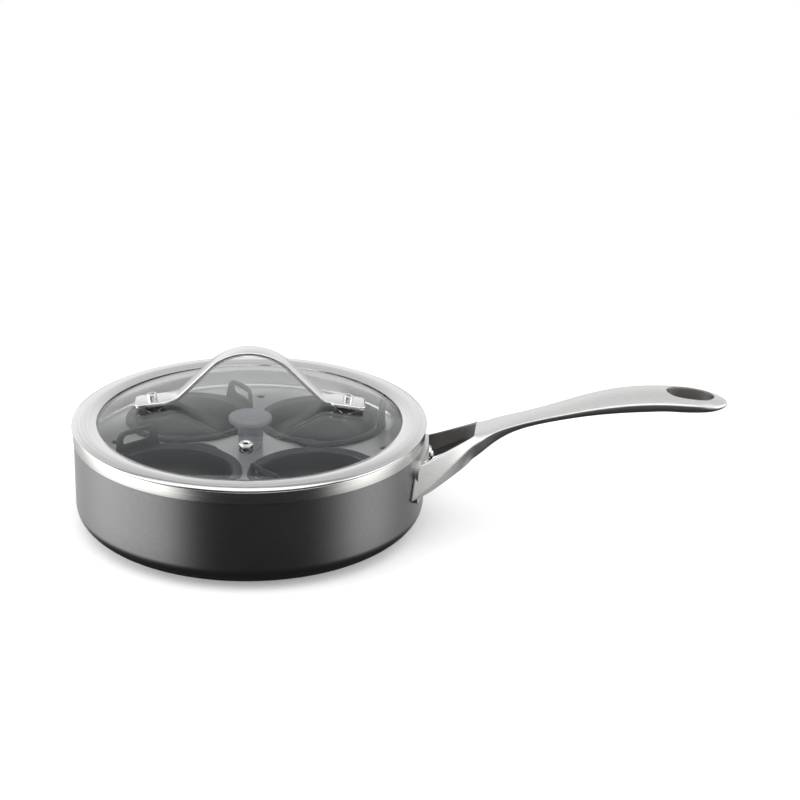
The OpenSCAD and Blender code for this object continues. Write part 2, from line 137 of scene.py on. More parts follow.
# Meshes

def addPiece(name, points, faces, finishes, sharp=35, close=True):
    mesh = bpy.data.meshes.new(name)
    mesh.from_pydata([Vector(p) * mm for p in points], [], faces)
    work = bmesh.new()
    work.from_mesh(mesh)
    bmesh.ops.remove_doubles(work, verts=work.verts, dist=1e-6)
    if close:
        bmesh.ops.recalc_face_normals(work, faces=work.faces)
    work.to_mesh(mesh)
    work.free()
    for finish in finishes:
        mesh.materials.append(finish)
    mesh.shade_smooth()
    mesh.set_sharp_from_angle(angle=math.radians(sharp))
    piece = bpy.data.objects.new(name, mesh)
    scene.collection.objects.link(piece)
    return piece


def paint(piece, rule):
    # rule gives the finish number from a face's centre, in millimetres
    for face in piece.data.polygons:
        face.material_index = rule(face.center / mm)


def lathe(profile, turns=192, closed=True, shape=None):
    points, rings, faces = [], [], []
    for r, z in profile:
        if r < 1e-4:
            rings.append([len(points)] * turns)
            points.append((0, 0, z))
            continue
        rings.append(range(len(points), len(points) + turns))
        for k in range(turns):
            turn = math.tau * k / turns
            reach = shape(r, z, turn) if shape else r
            points.append((reach * math.cos(turn), reach * math.sin(turn), z))
    pairs = list(zip(rings, rings[1:]))
    if closed and not (profile[0][0] < 1e-4 and profile[-1][0] < 1e-4):
        pairs.append((rings[-1], rings[0]))
    for low, high in pairs:
        for k in range(turns):
            ring = [low[k], low[(k + 1) % turns], high[(k + 1) % turns], high[k]]
            face = [p for i, p in enumerate(ring) if p not in ring[:i]]
            if len(face) > 2:
                faces.append(face)
    return points, faces


def moved(points, matrix):
    return [matrix @ Vector(p) for p in points]


def joined(*parts):
    points, faces = [], []
    for morePoints, moreFaces in parts:
        faces += [[p + len(points) for p in face] for face in moreFaces]
        points += morePoints
    return points, faces


def plateWithHoles(loops, fill, keep, place):
    # flat plate cut by closed loops of 2D points, then lifted into both of its faces by place(point, side)
    flat, edges = [], []
    for loop in loops:
        start = len(flat)
        flat += [Vector(p[:2]) for p in loop]
        edges += [(start + k, start + (k + 1) % len(loop)) for k in range(len(loop))]
    made = delaunay_2d_cdt(flat + [Vector(p[:2]) for p in fill], edges, [], 0, 1e-4)
    flat = made[0]
    faces = []
    for a, b, c in made[2]:
        if keep((flat[a] + flat[b] + flat[c]) / 3):
            turned = (flat[b] - flat[a]).cross(flat[c] - flat[a]) > 0
            faces.append([a, b, c] if turned else [a, c, b])
    used = {}
    for face in faces:
        for a, b in zip(face, face[1:] + face[:1]):
            used[(a, b)] = (b, a)
    rims = [edge for edge, other in used.items() if other not in used]
    n = len(flat)
    points = [place(p, 1) for p in flat] + [place(p, 0) for p in flat]
    faces = faces + [[a + n, c + n, b + n] for a, b, c in faces] + [[b, a, a + n, b + n] for a, b in rims]
    return points, faces


def dropLoose(piece):
    work = bmesh.new()
    work.from_mesh(piece.data)
    bmesh.ops.delete(work, geom=[v for v in work.verts if not v.link_faces], context="VERTS")
    work.to_mesh(piece.data)
    work.free()


def applied(piece):
    # the piece with its modifiers worked in, as a plain mesh
    seen = piece.evaluated_get(bpy.context.evaluated_depsgraph_get())
    mesh = bpy.data.meshes.new_from_object(seen)
    mesh.name = piece.name
    piece.modifiers.clear()
    piece.data = mesh
    return piece


def cutBy(piece, cutter):
    cut = piece.modifiers.new("cut", "BOOLEAN")
    cut.operation = "DIFFERENCE"
    cut.solver = "EXACT"
    cut.object = cutter
    applied(piece)
    bpy.data.objects.remove(cutter)


def softenEdges(piece, width, segments=2, limit=50):
    bevel = piece.modifiers.new("softEdges", "BEVEL")
    bevel.width = width * mm
    bevel.segments = segments
    bevel.limit_method = "ANGLE"
    bevel.angle_limit = math.radians(limit)
    return applied(piece)


def addNode(tree, kind, settings=None, inputs=None):
    made = tree.nodes.new(kind)
    for name, value in (settings or {}).items():
        setattr(made, name, value)
    for name, value in (inputs or {}).items():
        if isinstance(value, bpy.types.NodeSocket):
            tree.links.new(value, made.inputs[name])
        else:
            made.inputs[name].default_value = value
    return made


def colour(hexText):
    levels = [int(hexText[i:i + 2], 16) / 255 for i in (1, 3, 5)]
    return [v / 12.92 if v <= 0.04045 else ((v + 0.055) / 1.055) ** 2.4 for v in levels] + [1]


# Camera, from the photograph's outlines

cameraView = {
    "place": (0.18267, -0.99904, 0.47242),
    "elevation": 21.469,
    "roll": 1.410,
    "turn": 5.5,
    "lens": 85.18,
}


def addCamera(v):
    tilt, roll = math.radians(v["elevation"]), math.radians(v["roll"])
    up = Vector((0, math.sin(tilt), math.cos(tilt)))
    away = Vector((0, math.cos(tilt), -math.sin(tilt)))
    right = Vector((1, 0, 0))
    axes = (right * math.cos(roll) + up * math.sin(roll),
            up * math.cos(roll) - right * math.sin(roll), -away)
    facing = Matrix(axes).transposed()
    facing = Matrix.Rotation(math.radians(v["turn"]), 3, "Z") @ facing
    data = bpy.data.cameras.new("studioCamera")
    data.lens = v["lens"]
    data.sensor_width = 36
    data.clip_start = 0.05
    camera = bpy.data.objects.new("studioCamera", data)
    camera.matrix_world = Matrix.Translation(v["place"]) @ facing.to_4x4()
    scene.collection.objects.link(camera)
    scene.camera = camera


addCamera(cameraView)
print("camera set")


# Finishes. Each starts from a bare tree with one Principled shader

def newFinish(name, hexText, settings):
    finish = bpy.data.materials.new(name)
    finish.use_nodes = True
    tree = finish.node_tree
    shader = tree.nodes["Principled BSDF"]
    shader.inputs["Base Color"].default_value = colour(hexText)
    for key, value in settings.items():
        shader.inputs[key].default_value = value
    return finish, tree, shader


def objectCoords(tree, scale=(1, 1, 1)):
    # pattern coordinates in millimetres of the object
    where = addNode(tree, "ShaderNodeTexCoord")
    return addNode(tree, "ShaderNodeMapping", {"vector_type": "POINT"},
                   {"Vector": where.outputs["Object"], "Scale": [s / mm for s in scale]}).outputs["Vector"]


def varyColour(tree, shader, factor, darkHex, lightHex, low=0.3, high=0.7):
    ramp = addNode(tree, "ShaderNodeValToRGB", inputs={"Fac": factor})
    ramp.color_ramp.elements[0].position = low
    ramp.color_ramp.elements[1].position = high
    ramp.color_ramp.elements[0].color = colour(darkHex)
    ramp.color_ramp.elements[1].color = colour(lightHex)
    tree.links.new(ramp.outputs["Color"], shader.inputs["Base Color"])


def varyRoughness(tree, shader, factor, low, high):
    spread = addNode(tree, "ShaderNodeMapRange", inputs={"Value": factor, "To Min": low, "To Max": high})
    tree.links.new(spread.outputs["Result"], shader.inputs["Roughness"])


def bump(tree, shader, height, distance, strength=1.0):
    relief = addNode(tree, "ShaderNodeBump", inputs={
        "Height": height, "Distance": distance * mm, "Strength": strength})
    tree.links.new(relief.outputs["Normal"], shader.inputs["Normal"])


def latheLines(tree, spacing, wobble=0.0):
    # noise that runs round the object's axis: height and reach change fast, the turn slowly
    where = addNode(tree, "ShaderNodeTexCoord").outputs["Object"]
    parts = addNode(tree, "ShaderNodeSeparateXYZ", inputs={"Vector": where})
    flat = addNode(tree, "ShaderNodeVectorMath", {"operation": "MULTIPLY"},
                   {0: where, 1: (1, 1, 0)}).outputs["Vector"]
    reach = addNode(tree, "ShaderNodeVectorMath", {"operation": "LENGTH"}, {0: flat}).outputs["Value"]
    turn = addNode(tree, "ShaderNodeMath", {"operation": "ARCTAN2"},
                   {0: parts.outputs["Y"], 1: parts.outputs["X"]}).outputs["Value"]
    slow = addNode(tree, "ShaderNodeMath", {"operation": "MULTIPLY"},
                   {0: turn, 1: wobble}).outputs["Value"]
    fine = 1 / (spacing * mm)
    lined = addNode(tree, "ShaderNodeCombineXYZ", inputs={
        "X": addNode(tree, "ShaderNodeMath", {"operation": "MULTIPLY"}, {0: reach, 1: fine}).outputs["Value"],
        "Y": slow,
        "Z": addNode(tree, "ShaderNodeMath", {"operation": "MULTIPLY"},
                     {0: parts.outputs["Z"], 1: fine}).outputs["Value"]})
    return addNode(tree, "ShaderNodeTexNoise", inputs={
        "Vector": lined.outputs["Vector"], "Scale": 1.0, "Detail": 3.0}).outputs["Fac"]


def hardAnodised():
    # hard-anodised aluminium over a blasted wall: charcoal, matt, with a fine sandy grain
    finish, tree, shader = newFinish("hardAnodisedAluminium", "#727272", {
        "Metallic": 1.0, "Roughness": 0.36, "Coat Weight": 1.0, "Coat IOR": 1.65, "Coat Roughness": 0.32})
    coords = objectCoords(tree)
    grain = addNode(tree, "ShaderNodeTexNoise", inputs={"Vector": coords, "Scale": 1.1, "Detail": 4.0})
    cloud = addNode(tree, "ShaderNodeTexNoise", inputs={"Vector": coords, "Scale": 0.05, "Detail": 2.0})
    varyColour(tree, shader, grain.outputs["Fac"], "#6d6d6d", "#777777", 0.35, 0.65)
    varyRoughness(tree, shader, cloud.outputs["Fac"], 0.33, 0.4)
    bump(tree, shader, grain.outputs["Fac"], 0.02, 0.2)
    return finish


def turnedAluminium():
    # bare aluminium cut on a lathe: bright, with fine rings that smear light across them
    finish, tree, shader = newFinish("turnedAluminium", "#d9d8d5", {
        "Metallic": 1.0, "Roughness": 0.22, "Anisotropic": 0.6})
    lines = latheLines(tree, 0.35, 1.5)
    varyColour(tree, shader, lines, "#cfcecb", "#e4e3e0")
    varyRoughness(tree, shader, lines, 0.16, 0.28)
    bump(tree, shader, lines, 0.02, 0.35)
    rings = addNode(tree, "ShaderNodeTangent", {"direction_type": "RADIAL", "axis": "Z"})
    tree.links.new(rings.outputs["Tangent"], shader.inputs["Tangent"])
    return finish


def panInside():
    # hard-anodised inside, smoother and browner than the blasted wall
    finish, tree, shader = newFinish("anodisedInside", "#4a4a4a", {"Metallic": 0.8, "Roughness": 0.4})
    lines = latheLines(tree, 0.6, 2.0)
    varyColour(tree, shader, lines, "#444444", "#505050")
    bump(tree, shader, lines, 0.02, 0.3)
    return finish


def castStainless():
    # investment-cast stainless, tumbled and satin brushed: soft grey sheen with a faint grain along it
    finish, tree, shader = newFinish("castStainless", "#d7d7d6", {"Metallic": 1.0, "Roughness": 0.4})
    along = objectCoords(tree, (0.12, 1.6, 1.6))
    brushed = addNode(tree, "ShaderNodeTexNoise", inputs={"Vector": along, "Scale": 1.0, "Detail": 3.0})
    pores = addNode(tree, "ShaderNodeTexNoise", inputs={
        "Vector": objectCoords(tree), "Scale": 1.4, "Detail": 3.0})
    varyColour(tree, shader, brushed.outputs["Fac"], "#d1d1d0", "#dddddc")
    varyRoughness(tree, shader, brushed.outputs["Fac"], 0.36, 0.46)
    bump(tree, shader, pores.outputs["Fac"], 0.03, 0.35)
    return finish


def rawCasting():
    # the same casting, rougher and sandy; its darker colour is painted shade for the hole's wall and the arm
    # faces that face each other
    finish, tree, shader = newFinish("rawCasting", "#7f7d7b", {"Metallic": 1.0, "Roughness": 0.55})
    sand = addNode(tree, "ShaderNodeTexNoise", inputs={
        "Vector": objectCoords(tree), "Scale": 1.6, "Detail": 3.0})
    varyColour(tree, shader, sand.outputs["Fac"], "#757371", "#898785")
    bump(tree, shader, sand.outputs["Fac"], 0.05, 0.4)
    return finish


def rolledStainless():
    # rolled and satin polished stainless sheet: smooth, bright, lines run round the lid
    finish, tree, shader = newFinish("rolledStainless", "#d8d8d8", {
        "Metallic": 1.0, "Roughness": 0.16, "Anisotropic": 0.1})
    lines = latheLines(tree, 0.5, 1.0)
    varyColour(tree, shader, lines, "#d1d1d1", "#dfdfdf")
    varyRoughness(tree, shader, lines, 0.13, 0.2)
    bump(tree, shader, lines, 0.015, 0.2)
    rings = addNode(tree, "ShaderNodeTangent", {"direction_type": "RADIAL", "axis": "Z"})
    tree.links.new(rings.outputs["Tangent"], shader.inputs["Tangent"])
    return finish


def strapStainless():
    # drawn stainless strap, brushed along its length
    finish, tree, shader = newFinish("strapStainless", "#dadad9", {"Metallic": 1.0, "Roughness": 0.22})
    lines = addNode(tree, "ShaderNodeTexNoise", inputs={
        "Vector": objectCoords(tree, (0.08, 2.2, 0.08)), "Scale": 1.0, "Detail": 3.0})
    varyColour(tree, shader, lines.outputs["Fac"], "#d2d2d1", "#e2e2e1")
    varyRoughness(tree, shader, lines.outputs["Fac"], 0.18, 0.28)
    bump(tree, shader, lines.outputs["Fac"], 0.01, 0.25)
    return finish


def pressedStainless():
    # pressed stainless sheet, satin: cool grey with a faint mottling from the press
    finish, tree, shader = newFinish("pressedStainless", "#e9eaeb", {"Metallic": 1.0, "Roughness": 0.36})
    lines = addNode(tree, "ShaderNodeTexNoise", inputs={
        "Vector": objectCoords(tree, (0.1, 1.8, 1.8)), "Scale": 1.0, "Detail": 3.0})
    varyColour(tree, shader, lines.outputs["Fac"], "#e4e5e6", "#efeff0")
    varyRoughness(tree, shader, lines.outputs["Fac"], 0.32, 0.42)
    bump(tree, shader, lines.outputs["Fac"], 0.01, 0.25)
    return finish


def nonStick():
    # sprayed non-stick coating, baked: dark grey, faint orange peel, soft sheen
    finish, tree, shader = newFinish("nonStickCoating", "#2f3134", {"Roughness": 0.38})
    coords = objectCoords(tree)
    peel = addNode(tree, "ShaderNodeTexNoise", inputs={"Vector": coords, "Scale": 0.7, "Detail": 2.0})
    flecks = addNode(tree, "ShaderNodeTexNoise", inputs={"Vector": coords, "Scale": 2.2, "Detail": 1.0})
    varyColour(tree, shader, flecks.outputs["Fac"], "#2b2d30", "#36383b", 0.4, 0.68)
    varyRoughness(tree, shader, peel.outputs["Fac"], 0.34, 0.44)
    bump(tree, shader, peel.outputs["Fac"], 0.04, 0.3)
    return finish


def mouldedPhenolic():
    # compression-moulded phenolic: even blue grey, matt, with a faint flow mark
    finish, tree, shader = newFinish("mouldedPhenolic", "#7e8286", {"Roughness": 0.5})
    flow = addNode(tree, "ShaderNodeTexNoise", inputs={
        "Vector": objectCoords(tree), "Scale": 0.25, "Detail": 2.0, "Distortion": 0.6})
    varyColour(tree, shader, flow.outputs["Fac"], "#7a7e82", "#82868a")
    varyRoughness(tree, shader, flow.outputs["Fac"], 0.46, 0.56)
    bump(tree, shader, flow.outputs["Fac"], 0.02, 0.2)
    return finish


def toughenedGlass():
    # clear soda-lime glass, fire polished: sharp reflections, a trace of green grey in its depth
    finish, tree, shader = newFinish("toughenedGlass", "#f6f7f7", {
        "Roughness": 0.0, "IOR": 1.51, "Transmission Weight": 1.0})
    faint = addNode(tree, "ShaderNodeTexNoise", inputs={
        "Vector": objectCoords(tree), "Scale": 0.03, "Detail": 1.0})
    bump(tree, shader, faint.outputs["Fac"], 0.02, 0.05)
    # lamps reach what lies under the lid
    path = addNode(tree, "ShaderNodeLightPath")
    clear = addNode(tree, "ShaderNodeBsdfTransparent", inputs={"Color": colour("#f0f1f1")})
    both = addNode(tree, "ShaderNodeMixShader", inputs={
        0: path.outputs["Is Shadow Ray"], 1: shader.outputs["BSDF"], 2: clear.outputs["BSDF"]})
    tree.links.new(both.outputs["Shader"], tree.nodes["Material Output"].inputs["Surface"])
    return finish


def platedSteel():
    # bright-plated steel fasteners, machined: hard small highlights
    finish, tree, shader = newFinish("platedSteel", "#dcdcda", {"Metallic": 1.0, "Roughness": 0.14})
    tooled = addNode(tree, "ShaderNodeTexNoise", inputs={
        "Vector": objectCoords(tree), "Scale": 2.0, "Detail": 2.0})
    varyRoughness(tree, shader, tooled.outputs["Fac"], 0.1, 0.2)
    bump(tree, shader, tooled.outputs["Fac"], 0.01, 0.2)
    return finish


def siliconeRubber():
    # moulded silicone: dark, dull, slightly dusty
    finish, tree, shader = newFinish("siliconeRubber", "#2b2c2d", {"Roughness": 0.7})
    dust = addNode(tree, "ShaderNodeTexNoise", inputs={
        "Vector": objectCoords(tree), "Scale": 1.5, "Detail": 3.0})
    varyColour(tree, shader, dust.outputs["Fac"], "#262728", "#333435")
    varyRoughness(tree, shader, dust.outputs["Fac"], 0.62, 0.78)
    return finish


def turnedBrass():
    # brass bar turned and tapped: warm yellow with tool rings
    finish, tree, shader = newFinish("turnedBrass", "#c9a45c", {"Metallic": 1.0, "Roughness": 0.25})
    lines = latheLines(tree, 0.3, 1.0)
    varyRoughness(tree, shader, lines, 0.18, 0.32)
    bump(tree, shader, lines, 0.02, 0.3)
    return finish


anodised, turned, inside, castPaintedShade = hardAnodised(), turnedAluminium(), panInside(), rawCasting()
cast, rolled, strap, pressed = castStainless(), rolledStainless(), strapStainless(), pressedStainless()
coated, phenolic, glass = nonStick(), mouldedPhenolic(), toughenedGlass()
plated, silicone, brass = platedSteel(), siliconeRubber(), turnedBrass()
print("finishes made")


# Pan

panBox = [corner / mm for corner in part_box("pan_shell")]
pan = {
    "bandRadius": panBox[1].x,
    "wallRadius": panBox[1].x - 0.3,
    "height": panBox[1].z,
    "wall": 2.7,
    "floor": 3.6,
    "baseRadius": 80,
    "cornerHeight": 14,
    "band": 6.9,
    "ledgeDepth": 2.8,
    "ledge": 1.2,
    "floorCorner": 12,
    "baseHollow": 0.5,
    "baseRings": (22, 34, 46, 58),
    "ringHalf": 1.2,
    "ringRise": 0.3,
    "footRing": (68, 70, 71, 74),
}


def makePan(v):
    inner = v["wallRadius"] - v["wall"]
    ledgeRadius = v["wallRadius"] - v["ledge"]
    bandFoot = v["height"] - v["band"]
    hollow, half, rise = v["baseHollow"], v["ringHalf"], v["ringRise"]
    profile = [Vector((0, hollow))]
    for r in v["baseRings"]:
        profile += roundCorners([(r - half, hollow), (r - half / 2, hollow + rise, 0.2),
                                 (r + half / 2, hollow + rise, 0.2), (r + half, hollow)], 2)
    a, b, c, d = v["footRing"]
    profile += roundCorners([(a, hollow), (b, hollow, 0.5), (c, 0, 0.5), (d, 0)], 3)
    for k in range(25):
        turn = math.radians(90 * k / 24)
        profile.append(Vector((v["baseRadius"] + (v["wallRadius"] - v["baseRadius"]) * math.sin(turn),
                               v["cornerHeight"] * (1 - math.cos(turn)))))
    profile += [Vector((v["wallRadius"], z)) for z in (24, 36, bandFoot - 1)]
    profile += roundCorners([
        (v["wallRadius"], bandFoot - 0.6), (v["wallRadius"], bandFoot, 0.1),
        (v["bandRadius"], bandFoot, 0.15), (v["bandRadius"], v["height"], 0.5),
        (ledgeRadius, v["height"], 0.3), (ledgeRadius, v["height"] - v["ledgeDepth"], 0.2),
        (inner, v["height"] - v["ledgeDepth"], 0.3),
        (inner, v["floor"], v["floorCorner"]), (40, v["floor"])], 8)
    profile.append(Vector((0, v["floor"])))
    piece = addPiece("panShell", *lathe(profile, 256), [anodised, turned, inside])
    nearBand = bandFoot - 0.05

    def finishOf(centre):
        if centre.z > nearBand and centre.xy.length > inner - 0.05:
            return 1
        return 0 if centre.xy.length > inner + 0.2 or centre.z < v["floor"] - 1 else 2
    paint(piece, finishOf)
    return piece


panShell = makePan(pan)
print("pan turned")


# Handle: one cast piece, modelled as a cage of rings and smoothed

handleBox = [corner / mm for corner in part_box("handle")]
grip = {
    "reach": handleBox[1].x,
    "crotchX": 130,
    "crotchZ": 62.8,
    "crotchInner": 11,
    "slope": 18.3,
    "bendX": 188,
    "bendRadius": 170,
    "endX": handleBox[1].x - 23,
    "half": ((130, 15.6), (146, 10.6), (158, 9.7), (212, 15.2), (247, 15.0)),
    "crown": ((130, 0.6), (160, 1.5), (210, 3.4), (247, 3.3)),
    "depth": ((130, 13.2), (140, 8.1), (150, 4.7), (160, 3.8), (228, 6.5), (247, 6.0)),
    "sideDrop": ((130, 3.6), (143, 0)),
    "lowWidth": ((130, 0.95), (160, 0.8)),
    "column": ((130, 11), (158, 5.5), (227, 8)),
    "sideFull": 0.99,
    "sideHeight": 0.52,
    "lowFull": (0.98, 1.05, 1.08),
    "lowColumn": 0.85,
    "holeX": handleBox[1].x - 20.5,
    "holeLength": 26.5,
    "holeWidth": 17,
    "tip": ((-1.8, 0.42), (0.1, 0.19)),
    "tipColumn": 4,
    "stations": (130, 134, 140, 148, 158, 170, 182, 194, 206, 217, 227),
}
arm = {
    "thick": 4.6,
    "widening": 0.08,
    "spread": 0.39,
    "topFall": 0.5,
    "lowFall": 0.72,
    "depth": 13.2,
    "facetSlant": 0.25,
    "creaseDrop": 3.6,
    "creaseFall": 0.5,
    "innerFace": 8.5,
    "innerGrowth": 0.15,
    "leastFacet": 1.2,
    "facetRun": 9,
    "stations": (125, 119, 112, 106),
    "wallStation": 100,
    "wallGap": 0.3,
}
plate = {"half": 26, "low": 25, "high": 50, "thick": 2.6, "shoulder": 8}


def creaseHeight(v, s):
    slope = math.radians(v["slope"])
    if s <= v["bendX"]:
        return v["crotchZ"] + (s - v["crotchX"]) * math.tan(slope)
    turned = math.asin((s - v["bendX"]) / v["bendRadius"] - math.sin(slope))
    bendZ = v["crotchZ"] + (v["bendX"] - v["crotchX"]) * math.tan(slope)
    return bendZ - v["bendRadius"] * (math.cos(slope) - math.cos(turned))


def gripRing(v, s, column, end=1.0):
    # twelve cage points round the grip: five on top, one on each side, five below
    half = alongStations(v["half"], s) * end
    crown = alongStations(v["crown"], s) * end
    depth = alongStations(v["depth"], s) * end
    drop = alongStations(v["sideDrop"], s)
    lowHalf = half * alongStations(v["lowWidth"], s)
    z = creaseHeight(v, s)
    inner = min(column, half * 0.8)
    domed = crown * (1 - (inner / half) ** 2)
    side, middle = half * v["sideFull"], -(drop + depth) * v["sideHeight"]
    edgeLow, columnLow, middleLow = (-depth * full for full in v["lowFull"])
    lowInner = inner * v["lowColumn"]
    ring = [(-half, -drop), (-inner, domed), (0, crown), (inner, domed), (half, -drop), (side, middle),
            (lowHalf, edgeLow), (lowInner, columnLow), (0, middleLow), (-lowInner, columnLow),
            (-lowHalf, edgeLow), (-side, middle)]
    return [(s, y, z + rise) for y, rise in ring]


def armRing(v, a, s, side):
    # a slanted outer face from the inner top edge to a crease, a facet under it, and a shorter inner face
    run = v["crotchX"] - s
    inner = v["crotchInner"] + run * a["spread"]
    outer = inner + a["thick"] + run * a["widening"]
    top = v["crotchZ"] - run * a["topFall"]
    low = v["crotchZ"] - a["depth"] - run * a["lowFall"]
    fold = max(low + a["leastFacet"], top - a["creaseDrop"] - run * a["creaseFall"])
    innerLow = top - a["innerFace"] - run * a["innerGrowth"]
    flare = (fold - low) * a["facetSlant"] * softStep(run / a["facetRun"])
    section = ((inner, top), (outer, fold), (outer + flare / 2, (fold + low) / 2),
               (outer + flare, low), (inner, innerLow))
    return [(s, side * y, z) for y, z in section]


def makeGrip(v, a):
    work = bmesh.new()
    crease = work.edges.layers.float.new("crease_edge")

    def addRing(points):
        return [work.verts.new(Vector(p) * mm) for p in points]

    def creaseAlong(verts, amount, loop=False):
        for p, q in zip(verts, verts[1:] + (verts[:1] if loop else [])):
            edge = work.edges.get((p, q))
            if edge:
                edge[crease] = amount

    # the B-spline that smoothing gives runs inside an eight-point loop by this much
    swell = 3 / (2 + math.cos(math.radians(45)))
    holeHalf, holeSide = v["holeLength"] / 2 * swell, v["holeWidth"] / 2 * swell
    rings = []
    for s in v["stations"]:
        rings.append(addRing(gripRing(v, s, alongStations(v["column"], s))))
    # stations along the hole, where the sides begin to close in a half ellipse
    for along, beside in ((-1, 0.5), (-0.72, 0.82), (0, 1), (0.72, 0.82), (1, 0.5)):
        s = v["holeX"] + holeHalf * along
        past = max(0, (s - v["endX"]) / (v["reach"] - v["endX"]))
        rings.append(addRing(gripRing(v, s, holeSide * beside, math.sqrt(1 - past ** 2))))
    for past, width in v["tip"]:
        rings.append(addRing(gripRing(v, v["reach"] + past, v["tipColumn"], width)))
    tip = rings[-1]
    first = len(v["stations"])
    for j, (near, far) in enumerate(zip(rings, rings[1:])):
        for k in range(12):
            onTop, below = k in (1, 2), k in (7, 8)
            if (onTop or below) and first <= j <= first + 3:
                continue
            work.faces.new((near[k], near[(k + 1) % 12], far[(k + 1) % 12], far[k]))
    # top and bottom loops of the hole, and the corner triangles at its ends
    loops = []
    for inner, middle, outer in ((1, 2, 3), (9, 8, 7)):
        start, a1, a2, a3, stop = rings[first:first + 5]
        for here, beside in ((start, a1), (stop, a3)):
            for side in (inner, outer):
                work.faces.new((here[middle], here[side], beside[side]))
        loops.append([start[middle], a1[outer], a2[outer], a3[outer], stop[middle],
                      a3[inner], a2[inner], a1[inner]])
    for k in range(8):
        wall = work.faces.new((loops[0][k], loops[0][(k + 1) % 8], loops[1][(k + 1) % 8], loops[1][k]))
        wall.material_index = 1  # the hole's wall takes the darker casting, painted shade inside the hole
    unused = [ring[k] for ring in rings[first + 1:first + 4] for k in (2, 8)]
    below = (10, 9, 8, 7, 6)
    for k in range(4):
        work.faces.new((tip[k], tip[k + 1], tip[below[k + 1]], tip[below[k]]))
    work.faces.new((tip[0], tip[10], tip[11]))
    work.faces.new((tip[4], tip[5], tip[6]))
    # fork arms grow from the outer thirds of the first ring
    start = rings[0]
    for side, ring in ((1, [start[3], start[4], start[5], start[6], start[7]]),
                       (-1, [start[1], start[0], start[11], start[10], start[9]])):
        runs = [ring] + [addRing(armRing(v, a, s, side)) for s in a["stations"]]
        # the last ring lies on the wall
        reach = pan["wallRadius"] + a["wallGap"]
        runs.append(addRing([(math.sqrt(reach ** 2 - y * y), y, z)
                             for x, y, z in armRing(v, a, a["wallStation"], side)]))
        for near, far in zip(runs, runs[1:]):
            for k in range(5):
                face = work.faces.new((near[k], near[(k + 1) % 5], far[(k + 1) % 5], far[k]))
                face.material_index = int(k == 4)  # the faces towards each other take the darker casting, painted shade between the arms
        work.faces.new(runs[-1])
        for k, amount in enumerate((0.9, 0.6, 0.0, 0.9, 0.9)):
            creaseAlong([ring[k] for ring in runs], amount)
        creaseAlong(runs[-1], 1.0, True)
        creaseAlong([start[3], start[7]] if side > 0 else [start[1], start[9]], 1.0)
    work.faces.new((start[1], start[2], start[8], start[9]))
    work.faces.new((start[2], start[3], start[7], start[8]))
    creaseAlong([start[1], start[2], start[3]], 0.95)
    creaseAlong([start[7], start[8], start[9]], 0.95)
    for k, amount in ((0, 0.45), (4, 0.45)):
        creaseAlong([ring[k] for ring in rings[:-3]], amount)
    for loop in loops:
        creaseAlong(loop, 0.7, True)
    bmesh.ops.delete(work, geom=[p for p in unused if not p.link_faces], context="VERTS")
    bmesh.ops.recalc_face_normals(work, faces=work.faces)
    mesh = bpy.data.meshes.new("panHandle")
    work.to_mesh(mesh)
    work.free()
    mesh.materials.append(cast)
    # second finish: the darker casting, painted shade in the hole and between the arms
    mesh.materials.append(castPaintedShade)
    mesh.shade_smooth()
    piece = bpy.data.objects.new("panHandle", mesh)
    scene.collection.objects.link(piece)
    smooth = piece.modifiers.new("smooth", "SUBSURF")
    smooth.levels = smooth.render_levels = 3
    return applied(piece)


def makePlate(v):
    # the plate that lies on the wall between the arms
    half, low, high, soft = v["half"], v["low"], v["high"], v["shoulder"]
    outline = roundCorners([(0, low), (half, low, 2), (half - 1, high, soft), (0, high)], 8)
    outline = outline[:-1] + [Vector((-p.x, p.y)) for p in outline[:0:-1]]
    fill = [(u, z) for u in range(-24, 25, 3) for z in range(int(low) + 3, int(high) - 1, 5)
            if abs(u) < half - 3 - max(0, z - (high - soft))]

    def onWall(p, side):
        radius = pan["wallRadius"] + (v["thick"] if side else 0.02)
        turn = p.x / pan["wallRadius"]
        return (radius * math.cos(turn), radius * math.sin(turn), p.y)
    points, faces = plateWithHoles([outline], fill, lambda p: True, onWall)
    piece = addPiece("wallPlate", points, faces, [cast])
    return softenEdges(piece, 0.9, 3)


def joinInto(piece, *others):
    work = bmesh.new()
    for part in (piece, *others):
        work.from_mesh(part.data)
    work.to_mesh(piece.data)
    work.free()
    for part in others:
        bpy.data.objects.remove(part)
    return piece


panHandle = makeGrip(grip, arm)
wallPlate = makePlate(plate)
joinInto(panHandle, wallPlate)
print("handle cast")


# Copies on a ring, for everything that repeats round an axis

